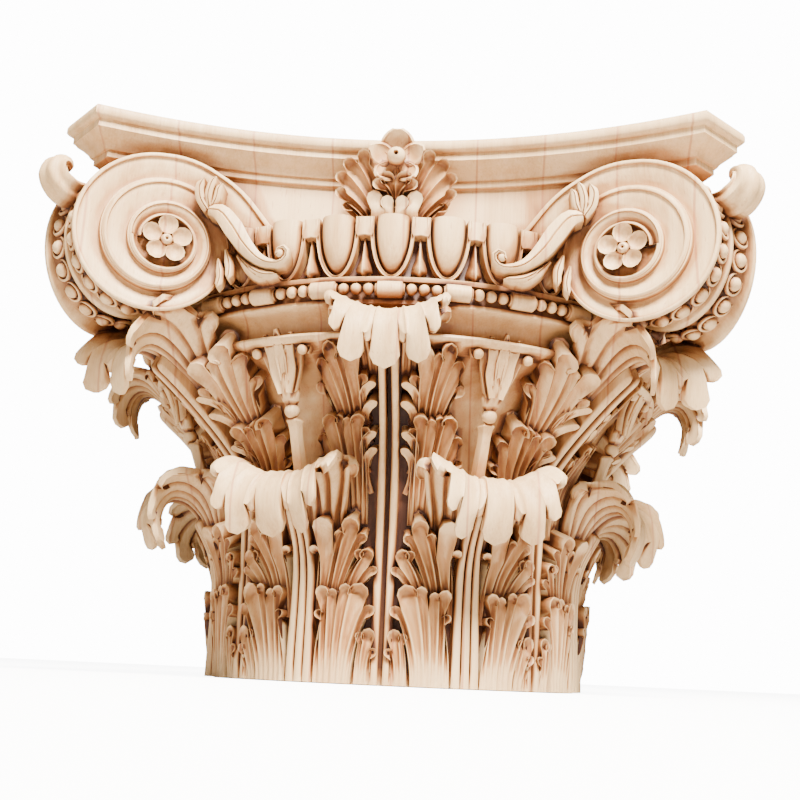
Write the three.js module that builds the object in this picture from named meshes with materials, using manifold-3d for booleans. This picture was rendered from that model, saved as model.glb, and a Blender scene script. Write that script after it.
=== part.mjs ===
// A carved wooden composite capital: one block of glued-up boards, cut into a
// concave abacus, four corner volutes, an egg-and-dart echinus and two tiers of
// eight acanthus leaves round a flaring bell. Millimetres, +Z up, origin at the
// middle of the underside.
import * as THREE from 'three';
import { mergeVertices } from 'three/addons/utils/BufferGeometryUtils.js';
import Module from 'manifold-3d';

// ---- Driving dimensions ----
const HEIGHT = 315;
const SIDES = 4;
const BELL_NECK_RADIUS = 118;
const BELOW_BED = 3;

// Abacus: four hollow sides that sweep out to cut-off corners.
const ABACUS_MID = 159;
const ABACUS_CURVE = 394;
const ABACUS_CORNER = 261;
const ABACUS_SIDE_STEPS = 7;
const FRIEZE_CORNER = 222;
const FRIEZE_INSET = 17;
const FRIEZE_FOOT = 248;

// Echinus: the ring of eggs over the beaded astragal.
const ECHINUS_RADIUS = 174;
const EGG_PITCH = THREE.MathUtils.degToRad(10);
const EGGS_EACH_WAY = 2;
const EGG_HALF_WIDTH = 10.5;
const EGG_PROUD = 12;
const EGG_TOP = 255;
const EGG_BOTTOM = 220;

// Volutes: each corner drum has two spiral faces that close toward the corner.
const EYE_X = 126;
const EYE_Y = 186;
const EYE_Z = 237;
const FACE_SPLAY = THREE.MathUtils.degToRad(24);
const SPIRAL_STEPS = 16;
const SPIRAL_START = -0.25;
const SPIRAL_END = 1.75;
const SPIRAL_SHIFT_OUT = 4;
const SPIRAL_SHIFT_UP = 3;
const CHANNEL_DEPTH = 6;
const ROSETTE_PROUD = 2;

// Leaf tiers and what grows between them.
const LEAVES_IN_TIER = 8;
const RIB_PROUD = 7.5;
const LEAF_SIDE_PROUD = 5;
const LEAF_JOINT_PROUD = 1;
const ROLL_COLUMNS = [-1, -0.55, 0, 0.55, 1];
const ROLL_ROWS = 7;
const ROLL_HALF_THICKNESS = 3.5;
const ROLL_DROOP = 7;
const LOBE_DEPTH = 0.06;
const ROOT_DEPTH = 8;
const STALK_PROUD = 6;

const wasm = await Module();
wasm.setup();

const EIGHTH = Math.PI / 4;
const QUARTER = Math.PI / 2;

// ---- Mesh helpers ----

/** Point at a plan angle from the front (-Y), turning toward +X. */
function polar(radius, angle, z) {
  return new THREE.Vector3(radius * Math.sin(angle), -radius * Math.cos(angle), z);
}

/** Straight-line table look-up through [key, value] stations. */
function lookUp(stations, key) {
  if (key <= stations[0][0]) {
    return stations[0][1];
  }
  for (let i = 1; i < stations.length; i += 1) {
    const [k1, v1] = stations[i];
    if (key <= k1) {
      const [k0, v0] = stations[i - 1];
      return THREE.MathUtils.lerp(v0, v1, (key - k0) / (k1 - k0));
    }
  }
  return stations[stations.length - 1][1];
}

/** Triangles that close one loop of points, seen along the loop's own normal. */
function capTriangles(loop) {
  const normal = new THREE.Vector3();
  const centre = new THREE.Vector3();
  loop.forEach((p, i) => {
    const q = loop[(i + 1) % loop.length];
    normal.add(new THREE.Vector3().crossVectors(p, q));
    centre.addScaledVector(p, 1 / loop.length);
  });
  normal.normalize();
  const across = new THREE.Vector3().subVectors(loop[0], centre);
  across.addScaledVector(normal, -across.dot(normal)).normalize();
  const along = new THREE.Vector3().crossVectors(normal, across);
  const flat = loop.map((p) => {
    const from = new THREE.Vector3().subVectors(p, centre);
    return new THREE.Vector2(from.dot(across), from.dot(along));
  });
  return THREE.ShapeUtils.triangulateShape(flat, []);
}

/** Signed volume of an indexed mesh, negative when it is inside out. */
function signedVolume(points, triangles) {
  let sum = 0;
  triangles.forEach(([a, b, c]) => {
    sum += points[a].dot(new THREE.Vector3().crossVectors(points[b], points[c]));
  });
  return sum / 6;
}

/** Solid from points and triangles, with doubles joined and the skin outward. */
function solidFrom(points, triangles) {
  const outward = signedVolume(points, triangles) >= 0;
  const geometry = new THREE.BufferGeometry();
  geometry.setAttribute(
    'position',
    new THREE.Float32BufferAttribute(points.flatMap((p) => [p.x, p.y, p.z]), 3),
  );
  geometry.setIndex(triangles.flatMap(([a, b, c]) => (outward ? [a, b, c] : [a, c, b])));
  return solidFromGeometry(geometry);
}

/** Solid from a closed three.js geometry. */
function solidFromGeometry(geometry) {
  const bare = geometry.clone();
  bare.deleteAttribute('normal');
  bare.deleteAttribute('uv');
  const merged = mergeVertices(bare, 1e-4);
  const index = merged.index.array;
  const kept = [];
  for (let i = 0; i < index.length; i += 3) {
    const [a, b, c] = [index[i], index[i + 1], index[i + 2]];
    if (a !== b && b !== c && c !== a) {
      kept.push(a, b, c);
    }
  }
  return new wasm.Manifold(
    new wasm.Mesh({
      numProp: 3,
      vertProperties: new Float32Array(merged.attributes.position.array),
      triVerts: new Uint32Array(kept),
    }),
  );
}

/** Solid whose skin runs through equal loops of points, closed at both ends. */
function loft(loops) {
  const count = loops[0].length;
  const triangles = [];
  for (let row = 0; row + 1 < loops.length; row += 1) {
    for (let i = 0; i < count; i += 1) {
      const a = row * count + i;
      const b = row * count + ((i + 1) % count);
      triangles.push([a, b, b + count], [a, b + count, a + count]);
    }
  }
  const last = (loops.length - 1) * count;
  capTriangles(loops[0]).forEach(([a, b, c]) => triangles.push([a, c, b]));
  capTriangles(loops[loops.length - 1]).forEach(([a, b, c]) => {
    triangles.push([last + a, last + b, last + c]);
  });
  return solidFrom(loops.flat(), triangles);
}

/** Solid of revolution through [radius, z] stations that start and end on the axis. */
function turned(stations, segments) {
  const profile = stations.map(([radius, z]) => new THREE.Vector2(radius, z));
  const geometry = new THREE.LatheGeometry(profile, segments);
  geometry.rotateX(QUARTER);
  return solidFromGeometry(geometry);
}

/** The solid turned about the capital's axis by an angle. */
function spun(solid, angle) {
  return solid.rotate([0, 0, THREE.MathUtils.radToDeg(angle)]);
}

/** Copies of a solid set evenly round the axis. */
function ringOf(solid, count) {
  return Array.from({ length: count }, (_, i) => spun(solid, (i * 2 * Math.PI) / count));
}

/** The solid seen in the diagonal mirror that swaps the two faces of a corner. */
function cornerMirror(point) {
  return new THREE.Vector3(-point.y, -point.x, point.z);
}

// ---- Abacus ----

/** Plan of the abacus drawn in by an inset, with its corners cut at a distance. */
function abacusOutline(inset, cornerDistance, z) {
  const centreY = -(ABACUS_MID + ABACUS_CURVE);
  const radius = ABACUS_CURVE + inset;
  const shift = cornerDistance * Math.SQRT2 + centreY;
  const cornerX = (shift + Math.sqrt(2 * radius * radius - shift * shift)) / 2;
  const reach = Math.asin(Math.min(cornerX, radius) / radius);
  const side = [];
  for (let i = 0; i <= ABACUS_SIDE_STEPS; i += 1) {
    const angle = THREE.MathUtils.lerp(-reach, reach, i / ABACUS_SIDE_STEPS);
    side.push([radius * Math.sin(angle), centreY + radius * Math.cos(angle)]);
  }
  const loop = [];
  for (let turn = 0; turn < SIDES; turn += 1) {
    const c = Math.cos(turn * QUARTER);
    const s = Math.sin(turn * QUARTER);
    side.forEach(([x, y]) => loop.push(new THREE.Vector3(x * c - y * s, x * s + y * c, z)));
  }
  return loop;
}

/**
 * The moulded slab and, below it, the plain curved frieze behind the eggs.
 * Each level gives [inset of the sides, distance of the corner cut, z].
 */
function makeAbacus() {
  const levels = [
    [3, 258, HEIGHT],
    [0, ABACUS_CORNER, HEIGHT - 3.5],
    [1.5, ABACUS_CORNER - 1.5, HEIGHT - 7.5],
    [3.5, ABACUS_CORNER - 3.5, HEIGHT - 8],
    [3.5, ABACUS_CORNER - 3.5, HEIGHT - 13],
    [8, ABACUS_CORNER - 8, HEIGHT - 16],
    [14, ABACUS_CORNER - 14, HEIGHT - 20.5],
    [14, ABACUS_CORNER - 14, HEIGHT - 25.5],
    [FRIEZE_INSET, FRIEZE_CORNER, HEIGHT - 26.5],
    [FRIEZE_INSET, FRIEZE_CORNER, FRIEZE_FOOT],
  ];
  return loft(levels.map(([inset, corner, z]) => abacusOutline(inset, corner, z)));
}

// ---- Bell, lip and echinus ----

/**
 * The carved drum: the flaring bell with both tiers of leaves standing on it.
 * Each level gives [z, bell radius, lower leaf relief, upper leaf relief].
 */
function makeDrum() {
  const levels = [
    [-BELOW_BED, BELL_NECK_RADIUS, 1, 0],
    [40, BELL_NECK_RADIUS, 1, 0],
    [84, 119, 0.9, 0],
    [90, 119, 0, 1],
    [125, 123, 0, 1],
    [156, 136, 0, 0.8],
    [178, 160, 0, 0],
  ];
  const lowerForm = [LEAF_JOINT_PROUD, LEAF_SIDE_PROUD, RIB_PROUD, LEAF_SIDE_PROUD];
  const upperForm = [RIB_PROUD, LEAF_SIDE_PROUD, STALK_PROUD, LEAF_SIDE_PROUD];
  const columns = LEAVES_IN_TIER * lowerForm.length;
  const loops = levels.map(([z, bell, lower, upper]) => {
    const loop = [];
    for (let i = 0; i < columns; i += 1) {
      const angle = (i * 2 * Math.PI) / columns;
      const lowerRise = lowerForm[i % lowerForm.length] * lower;
      const upperRise = upperForm[i % upperForm.length] * upper;
      loop.push(polar(bell + lowerRise + upperRise, angle, z));
    }
    return loop;
  });
  return loft(loops);
}

/** The rounded lip, scotia, fillets, astragal and the plain bed of the eggs. */
function makeEchinus() {
  return turned(
    [
      [0, 174],
      [154, 174],
      [171, 183],
      [172, 189],
      [163, 196],
      [166, 202],
      [177.5, 204.5],
      [183, 208],
      [184.5, 211.5],
      [182.5, 216],
      [180, 219.5],
      [ECHINUS_RADIUS, 220],
      [ECHINUS_RADIUS + 2, 254],
      [0, 254],
    ],
    36,
  );
}

/** One egg: half a pointed oval standing out of the ring, cut flat on top. */
function makeEgg() {
  const drop = EGG_TOP - EGG_BOTTOM;
  const loops = [0.06, 0.45, 1].map((rise) => {
    const swell = Math.sqrt(1 - (1 - rise) ** 2.3);
    const z = EGG_BOTTOM + drop * rise;
    const loop = [];
    for (let i = 0; i <= 4; i += 1) {
      const angle = -QUARTER + (Math.PI * i) / 4;
      const x = EGG_HALF_WIDTH * swell * Math.sin(angle);
      const out = ECHINUS_RADIUS - 1 + EGG_PROUD * swell * Math.cos(angle);
      loop.push(new THREE.Vector3(x, -out, z));
    }
    loop.push(new THREE.Vector3(EGG_HALF_WIDTH * swell * 0.8, -(ECHINUS_RADIUS - 8), z));
    loop.push(new THREE.Vector3(-EGG_HALF_WIDTH * swell * 0.8, -(ECHINUS_RADIUS - 8), z));
    return loop;
  });
  return loft(loops);
}

/** The eggs that show between the volutes, on all four sides. */
function makeEggs() {
  const egg = makeEgg();
  const run = [];
  for (let i = -EGGS_EACH_WAY; i <= EGGS_EACH_WAY; i += 1) {
    run.push(spun(egg, i * EGG_PITCH));
  }
  return run.flatMap((one) => ringOf(one, SIDES));
}

// ---- Volutes ----

/** Radius of the spiral fillet after a number of turns from the top. */
function spiralRadius(turns) {
  const stations = [
    [-0.25, 75],
    [-0.18, 63],
    [-0.1, 56],
    [0, 52],
    [0.25, 47.5],
    [0.5, 43.5],
    [0.75, 39.5],
    [1, 36],
    [1.25, 32.6],
    [1.5, 29],
    [1.75, 25.5],
    [2, 22.5],
    [2.25, 19.5],
    [2.5, 17],
    [2.75, 15],
  ];
  return lookUp(stations, turns);
}

/** Height of the spiral fillet over the drum's outer rim, growing to the eye. */
function filletLift(turns) {
  return THREE.MathUtils.clamp(turns, 0, 2) * 2.2;
}

/** A point on the front spiral face of the corner between the front and +X. */
function facePoint(turns, acrossChannel, sink) {
  const angle = turns * 2 * Math.PI;
  const outer = spiralRadius(turns);
  const inner = spiralRadius(turns + 1);
  const radius = THREE.MathUtils.lerp(outer, inner, acrossChannel);
  const settle = 1 - THREE.MathUtils.clamp(turns + acrossChannel, 0, 2.5) / 2.5;
  const out = radius * Math.sin(angle) + SPIRAL_SHIFT_OUT * settle;
  const up = radius * Math.cos(angle) + SPIRAL_SHIFT_UP * settle;
  const lift = -7 + THREE.MathUtils.lerp(
    filletLift(turns),
    filletLift(turns + 1),
    acrossChannel,
  ) - sink;
  const c = Math.cos(FACE_SPLAY);
  const s = Math.sin(FACE_SPLAY);
  return new THREE.Vector3(
    EYE_X + out * c - lift * s,
    -(EYE_Y + out * s + lift * c),
    EYE_Z + up,
  );
}

/** One corner drum with a stepped spiral and a pointed rosette on both faces. */
function makeVolute() {
  const section = [
    [0, 0],
    [0.22, 0],
    [0.45, CHANNEL_DEPTH],
    [1, 0],
  ];
  const points = [];
  const triangles = [];
  const steps = Math.round((SPIRAL_END - SPIRAL_START) * SPIRAL_STEPS);
  const turn = SPIRAL_STEPS;
  const width = section.length - 1;
  const rowOf = [];
  for (let i = 0; i <= steps + turn; i += 1) {
    const turns = SPIRAL_START + i / SPIRAL_STEPS;
    const lanes = i <= steps ? width : 1;
    rowOf.push(points.length);
    for (let lane = 0; lane < lanes; lane += 1) {
      points.push(facePoint(turns, section[lane][0], section[lane][1]));
    }
  }
  const at = (i, lane) => (lane < width ? rowOf[i] + lane : rowOf[i + turn]);
  for (let i = 0; i < steps; i += 1) {
    for (let lane = 0; lane < width; lane += 1) {
      triangles.push([at(i, lane), at(i, lane + 1), at(i + 1, lane + 1)]);
      triangles.push([at(i, lane), at(i + 1, lane + 1), at(i + 1, lane)]);
    }
  }
  const eye = [];
  for (let i = steps; i <= steps + turn; i += 1) {
    eye.push(at(i, 0));
  }
  eye.push(at(steps, 2), at(steps, 1));
  const middle = points.length;
  const c = Math.cos(FACE_SPLAY);
  const s = Math.sin(FACE_SPLAY);
  points.push(new THREE.Vector3(EYE_X - ROSETTE_PROUD * s, -(EYE_Y + ROSETTE_PROUD * c), EYE_Z));
  eye.forEach((k, i) => triangles.push([middle, eye[(i + 1) % eye.length], k]));
  const half = points.length;
  const mirrored = points.map(cornerMirror);
  const skin = triangles.concat(triangles.map(([a, b, c]) => [a + half, c + half, b + half]));
  const rim = [];
  for (let i = 0; i <= turn; i += 1) {
    rim.push(at(i, 0));
  }
  for (let lane = width - 1; lane > 0; lane -= 1) {
    rim.push(at(0, lane));
  }
  rim.forEach((a, i) => {
    const b = rim[(i + 1) % rim.length];
    skin.push([a, b, b + half], [a, b + half, a + half]);
  });
  return solidFrom(points.concat(mirrored), skin);
}

/** The curled shell that stands up from the drum at each corner. */
function makeEar() {
  const spine = [
    [238, 272, 9],
    [252, 264, 11],
    [266, 262, 11],
    [274, 267, 10],
    [275, 275, 8],
    [268, 279, 6],
    [262, 275, 4],
  ];
  const curve = new THREE.CatmullRomCurve3(
    spine.map(([radius, z]) => new THREE.Vector3(radius, z, 0)),
  );
  const loops = [];
  for (let i = 0; i <= 6; i += 1) {
    const t = i / 6;
    const mid = curve.getPoint(t);
    const along = curve.getTangent(t);
    const wide = lookUp([[0, 9], [0.4, 12], [0.7, 11], [1, 5]], t);
    const thick = lookUp([[0, 4], [0.4, 5], [0.75, 4], [1, 2.5]], t);
    const loop = [];
    for (let k = 0; k < 5; k += 1) {
      const angle = (k * 2 * Math.PI) / 5;
      const side = wide * Math.cos(angle);
      const out = thick * Math.sin(angle);
      const radius = mid.x - along.y * out;
      const z = mid.y + along.x * out;
      const base = polar(radius, EIGHTH, z);
      loop.push(base.add(polar(side, EIGHTH + QUARTER, 0)));
    }
    loops.push(loop);
  }
  return loft(loops);
}

// ---- Leaves ----

/**
 * The top of one acanthus leaf, a sheet that leaves the drum and rolls over.
 * spine: [radius, z] stations of its middle line; widths: [share, half width].
 */
function makeRoll({ spine, widths }) {
  const curve = new THREE.CatmullRomCurve3(
    spine.map(([radius, z]) => new THREE.Vector3(radius, z, 0)),
    false,
    'centripetal',
  );
  const loops = [];
  for (let row = 0; row <= ROLL_ROWS; row += 1) {
    const share = row / ROLL_ROWS;
    const mid = curve.getPointAt(share);
    const along = curve.getTangentAt(share);
    const lobe = 1 + (row % 2 ? LOBE_DEPTH : -LOBE_DEPTH);
    const halfWidth = lookUp(widths, share) * lobe;
    const sunk = ROOT_DEPTH * THREE.MathUtils.clamp(1 - share * 4, 0, 1);
    const droop = ROLL_DROOP * THREE.MathUtils.clamp((share - 0.3) * 3, 0, 1);
    const put = (column, offset) => {
      const fall = droop * column * column;
      const radius = mid.x + along.y * offset - fall * Math.abs(along.y) * 0.4;
      const z = mid.y - along.x * offset - fall * Math.abs(along.x);
      return polar(radius, (column * halfWidth) / mid.x, z);
    };
    const outside = ROLL_COLUMNS.map((column) => {
      const edge = Math.abs(column) === 1;
      return put(column, edge ? 0 : ROLL_HALF_THICKNESS);
    });
    const inside = ROLL_COLUMNS.slice(1, -1).map((column) => {
      return put(column, -ROLL_HALF_THICKNESS - sunk);
    });
    loops.push(outside.concat(inside.reverse()));
  }
  return loft(loops);
}

/** Roll of the lower tier, hanging over the broad body of its leaf. */
function makeLowerRoll() {
  return makeRoll({
    spine: [
      [120, 74],
      [127, 86],
      [135, 101],
      [147, 112],
      [158, 113],
      [166, 105],
      [168, 94],
      [165, 83],
      [160, 74],
    ],
    widths: [[0, 38], [0.4, 31], [0.85, 30], [1, 11]],
  });
}

/** Roll of the upper tier in the middle of a side, over the astragal. */
function makeMiddleRoll() {
  return makeRoll({
    spine: [
      [126, 132],
      [147, 158],
      [163, 178],
      [177, 193],
      [187, 202],
      [197, 201],
      [202, 190],
      [202, 177],
      [198, 164],
    ],
    widths: [[0, 36], [0.4, 31], [0.85, 34], [1, 12]],
  });
}

/** Roll of the upper tier under a corner, flaring out below the volute. */
function makeCornerRoll() {
  return makeRoll({
    spine: [
      [128, 128],
      [161, 157],
      [185, 177],
      [207, 188],
      [224, 189],
      [234, 180],
      [237, 168],
      [235, 158],
      [230, 148],
    ],
    widths: [[0, 40], [0.4, 37], [0.85, 33], [1, 11]],
  });
}

/** The ball and split tulip that end each stalk between two upper leaves. */
function makeTulip() {
  const levels = [
    [146, 139, 4],
    [153, 142, 6],
    [159, 142, 4],
    [184, 158, 14],
  ];
  return loft(
    levels.map(([z, radius, half]) => {
      const loop = [];
      for (let k = 0; k < 5; k += 1) {
        const angle = (k * 2 * Math.PI) / 5 - QUARTER;
        const x = half * Math.cos(angle);
        loop.push(new THREE.Vector3(x, -radius + half * Math.sin(angle), z));
      }
      return loop;
    }),
  );
}

// ---- Fleuron in the middle of each abacus side ----

/** The fan of leaves behind the flower, widest at mid height. */
function makeFleuronFan() {
  const outline = [
    [-9, 252],
    [-20, 262],
    [-32, 276],
    [-26, 284],
    [-31, 294],
    [-18, 300],
    [-8, 304],
    [8, 304],
    [18, 300],
    [31, 294],
    [26, 284],
    [32, 276],
    [20, 262],
    [9, 252],
  ];
  const lean = (z) => 158 + (z - 252) * 0.28;
  const front = outline.map(([x, z]) => new THREE.Vector3(x, -lean(z) - 7, z));
  const back = outline.map(([x, z]) => new THREE.Vector3(x, -135, z));
  return loft([back, front]);
}

/** The open flower with its round middle. */
function makeFlower() {
  const loops = [
    [8, 160],
    [15, 178],
    [4, 186],
  ].map(([reach, out]) => {
    const loop = [];
    for (let k = 0; k < 10; k += 1) {
      const angle = (k * Math.PI) / 5;
      const radius = reach > 6 ? reach * (k % 2 ? 0.82 : 1) : reach;
      loop.push(
        new THREE.Vector3(radius * Math.sin(angle), -out, 292 + radius * Math.cos(angle)),
      );
    }
    return loop;
  });
  return loft(loops);
}

/** The half palmette that lies along the foot of each volute's channel. */
function makePalmette() {
  const spine = [
    [102, 171, 256, 6],
    [82, 168, 239, 9],
    [59, 174, 222, 6],
  ];
  return loft(
    spine.map(([x, y, z, half]) => {
      const loop = [];
      for (let k = 0; k < 4; k += 1) {
        const angle = (k * Math.PI) / 2;
        loop.push(
          new THREE.Vector3(
            x + half * 0.6 * Math.cos(angle),
            -(y + 6 * Math.sin(angle)),
            z + half * Math.cos(angle),
          ),
        );
      }
      return loop;
    }),
  );
}

/** The same solid on the other side of the front's middle plane. */
function sideMirror(solid) {
  return solid.mirror([1, 0, 0]);
}

// ---- Assembly ----

const palmette = makePalmette();
const carved = [
  makeAbacus(),
  makeDrum(),
  makeEchinus(),
  ...makeEggs(),
  ...ringOf(makeVolute(), SIDES),
  ...ringOf(makeEar(), SIDES),
  ...ringOf(spun(makeLowerRoll(), EIGHTH / 2), LEAVES_IN_TIER),
  ...ringOf(makeMiddleRoll(), SIDES),
  ...ringOf(spun(makeCornerRoll(), EIGHTH), SIDES),
  ...ringOf(spun(makeTulip(), EIGHTH / 2), LEAVES_IN_TIER),
  ...ringOf(makeFleuronFan(), SIDES),
  ...ringOf(makeFlower(), SIDES),
  ...ringOf(palmette, SIDES),
  ...ringOf(sideMirror(palmette), SIDES),
];

const saw = new THREE.BoxGeometry(400, 400, 50);
saw.translate(0, 0, -25);
const block = wasm.Manifold.union(carved).subtract(solidFromGeometry(saw));
const { vertProperties, triVerts } = block.getMesh();
const geometry = new THREE.BufferGeometry();
geometry.setAttribute('position', new THREE.BufferAttribute(new Float32Array(vertProperties), 3));
geometry.setIndex(new THREE.BufferAttribute(new Uint32Array(triVerts), 1));
geometry.computeVertexNormals();

const wood = new THREE.MeshStandardMaterial({ color: 0xe6c8a4, roughness: 0.62, metalness: 0 });
const capital = new THREE.Mesh(geometry, wood);
capital.name = 'capital';

const part = new THREE.Group();
part.name = 'composite_capital';
part.add(capital);

export default part;
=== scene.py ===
"""The carved wooden composite capital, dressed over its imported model.

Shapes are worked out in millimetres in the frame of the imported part: +Z up, the
origin at the middle of the underside, azimuth 0 at the front (-Y) and growing
toward +X. Meshes are written in metres.
"""

import logging
import math
from collections.abc import Callable, Sequence
from dataclasses import dataclass, field, replace
from enum import Enum

import bmesh
import bpy
import numpy as np
from mathutils import Matrix, Vector
from mathutils.bvhtree import BVHTree


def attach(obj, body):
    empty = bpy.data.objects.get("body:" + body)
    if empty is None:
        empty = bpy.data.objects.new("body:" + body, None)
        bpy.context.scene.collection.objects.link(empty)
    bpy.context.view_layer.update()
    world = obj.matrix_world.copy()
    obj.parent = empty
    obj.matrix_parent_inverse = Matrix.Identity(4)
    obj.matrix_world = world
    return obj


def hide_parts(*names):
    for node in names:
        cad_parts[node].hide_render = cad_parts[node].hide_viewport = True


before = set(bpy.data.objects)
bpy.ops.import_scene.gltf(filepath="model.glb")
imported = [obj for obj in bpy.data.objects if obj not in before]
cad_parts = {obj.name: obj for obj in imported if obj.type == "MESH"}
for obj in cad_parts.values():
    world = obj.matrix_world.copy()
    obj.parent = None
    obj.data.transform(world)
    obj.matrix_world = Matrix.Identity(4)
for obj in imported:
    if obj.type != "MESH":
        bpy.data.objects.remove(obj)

log = logging.getLogger("capital")

MM = 0.001
SIDES = 4
TURN = 2 * math.pi
MERGE = 0.02
SOFT_ANGLE = math.radians(42)

Stations = Sequence[tuple[float, float]]
Place = Callable[[int, int], Vector]


class Half(Enum):
    """Which half of a mirrored form is cut."""

    LEFT = -1
    RIGHT = 1


def clamp(value: float, low: float = 0.0, high: float = 1.0) -> float:
    """Keep a value between two limits."""
    return max(low, min(high, value))


def lerp(start: float, end: float, share: float) -> float:
    """Mix two values by a share."""
    return start + (end - start) * share


def ease(value: float) -> float:
    """Smooth step from 0 to 1."""
    share = clamp(value)
    return share * share * (3 - 2 * share)


def look_up(stations: Stations, key: float) -> float:
    """Straight-line table look-up.

    Args:
        stations: (key, value) pairs in rising order.
        key: Where to read the table.

    Returns:
        The value at the key, held level past both ends.
    """
    return float(np.interp(key, [k for k, _ in stations], [v for _, v in stations]))


def polar(radius: float, azimuth: float, z: float) -> Vector:
    """Point at a plan angle in radians from the front, turning toward +X."""
    return Vector((radius * math.sin(azimuth), -radius * math.cos(azimuth), z))


def corner_mirror(point: Vector) -> Vector:
    """Swap the two faces of the corner between the front and +X."""
    return Vector((-point.y, -point.x, point.z))


# ---------------------------------------------------------------- bmesh tools


def weave(
    form: bmesh.types.BMesh,
    columns: int,
    rows: int,
    place: Place,
    capped: bool = False,
) -> None:
    """Add a grid to a form and move each of its points into place.

    Args:
        form: The mesh that grows.
        columns: Steps across the grid.
        rows: Steps along the grid.
        place: Gives the point for a column and a row.
        capped: Whether the open loops that are left get a face each.
    """
    made = bmesh.ops.create_grid(form, x_segments=columns, y_segments=rows, size=1.0)
    points = made["verts"]
    for vert in points:
        column = round((vert.co.x + 1) * columns / 2)
        row = round((vert.co.y + 1) * rows / 2)
        vert.co = place(column, row)
    bmesh.ops.remove_doubles(form, verts=points, dist=MERGE)
    if capped:
        kept = [vert for vert in points if vert.is_valid]
        rim = {edge for vert in kept for edge in vert.link_edges if edge.is_boundary}
        bmesh.ops.holes_fill(form, edges=list(rim))


def tube(
    form: bmesh.types.BMesh,
    sections: Sequence[Sequence[Vector]],
) -> None:
    """Add a closed skin through equal loops of points, with both ends faced.

    Args:
        form: The mesh that grows.
        sections: One loop of points for each station along the skin.
    """
    around = len(sections[0])

    def place(column: int, row: int) -> Vector:
        return sections[row][column % around]

    weave(form, around, len(sections) - 1, place, capped=True)


def ball(form: bmesh.types.BMesh, centre: Vector, radius: float, finish: int = 10) -> None:
    """Add a round ball of so many segments."""
    bmesh.ops.create_uvsphere(
        form,
        u_segments=finish,
        v_segments=max(6, finish * 2 // 3),
        radius=radius,
        matrix=Matrix.Translation(centre),
    )


def face_outward(form: bmesh.types.BMesh) -> None:
    """Turn the faces of every closed part of a form outward, by its signed volume.

    Args:
        form: The mesh whose faces are turned.
    """
    bmesh.ops.recalc_face_normals(form, faces=form.faces)
    form.faces.ensure_lookup_table()
    waiting = set(form.faces)
    while waiting:
        part = []
        front = [waiting.pop()]
        while front:
            face = front.pop()
            part.append(face)
            for edge in face.edges:
                for other in edge.link_faces:
                    if other in waiting:
                        waiting.remove(other)
                        front.append(other)
        anchor = part[0].verts[0].co
        volume = sum(
            (face.calc_center_median() - anchor).dot(face.normal) * face.calc_area()
            for face in part
        )
        if volume < 0:
            bmesh.ops.reverse_faces(form, faces=part)


def catmull(points: Sequence[Sequence[float]], per_span: int = 12) -> np.ndarray:
    """Smooth curve through control points.

    Args:
        points: The control points, each of two or three numbers.
        per_span: Samples between two neighbouring points.

    Returns:
        The sampled points, one row each.
    """
    knots = np.array(points, float)
    padded = np.vstack([2 * knots[0] - knots[1], knots, 2 * knots[-1] - knots[-2]])
    shares = np.linspace(0, 1, per_span, endpoint=False)[:, None]
    spans = []
    for p0, p1, p2, p3 in zip(padded, padded[1:], padded[2:], padded[3:]):
        linear = p2 - p0
        square = 2 * p0 - 5 * p1 + 4 * p2 - p3
        cubic = 3 * p1 - p0 - 3 * p2 + p3
        spans.append(p1 + 0.5 * (linear * shares + square * shares**2 + cubic * shares**3))
    return np.vstack(spans + [knots[-1:]])


class Route:
    """A smooth curve in space that is read by its length."""

    def __init__(self, points: Sequence[Sequence[float]]) -> None:
        """Fit the curve through control points."""
        self.points = catmull(points)
        steps = np.linalg.norm(np.diff(self.points, axis=0), axis=1)
        self.marks = np.concatenate([[0.0], np.cumsum(steps)])
        self.length = float(self.marks[-1])

    def at(self, along: float) -> np.ndarray:
        """Point at a length along the curve."""
        return np.array([np.interp(along, self.marks, column) for column in self.points.T])

    def heading(self, along: float) -> np.ndarray:
        """Unit direction of travel at a length along the curve.

        Args:
            along: Length along the curve.

        Returns:
            The direction, one unit long.
        """
        reach = 0.6
        way = self.at(min(along + reach, self.length)) - self.at(max(along - reach, 0.0))
        return way / max(np.linalg.norm(way), 1e-9)


# -------------------------------------------------------------- acanthus work


@dataclass(frozen=True)
class Lobe:
    """One finger of an acanthus leaf: a fluted stem that ends in a spoon.

    Places are (across, along) on the leaf's sheet. A blade hangs free of the
    ground behind it, and any other lobe is cut down to that ground.
    """

    root: tuple[float, float]
    tip: tuple[float, float]
    turn: float = 0.0
    stem: float = 1.8
    head: float = 3.6
    rise: tuple[float, float] = (4.0, 8.0)
    hollow: float = 1.8
    pointed: float = 0.3
    curl: float = 0.0
    blade: float = 0.0
    waist: tuple[float, float] = (0.0, 0.0)
    start: float = 0.0


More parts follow.
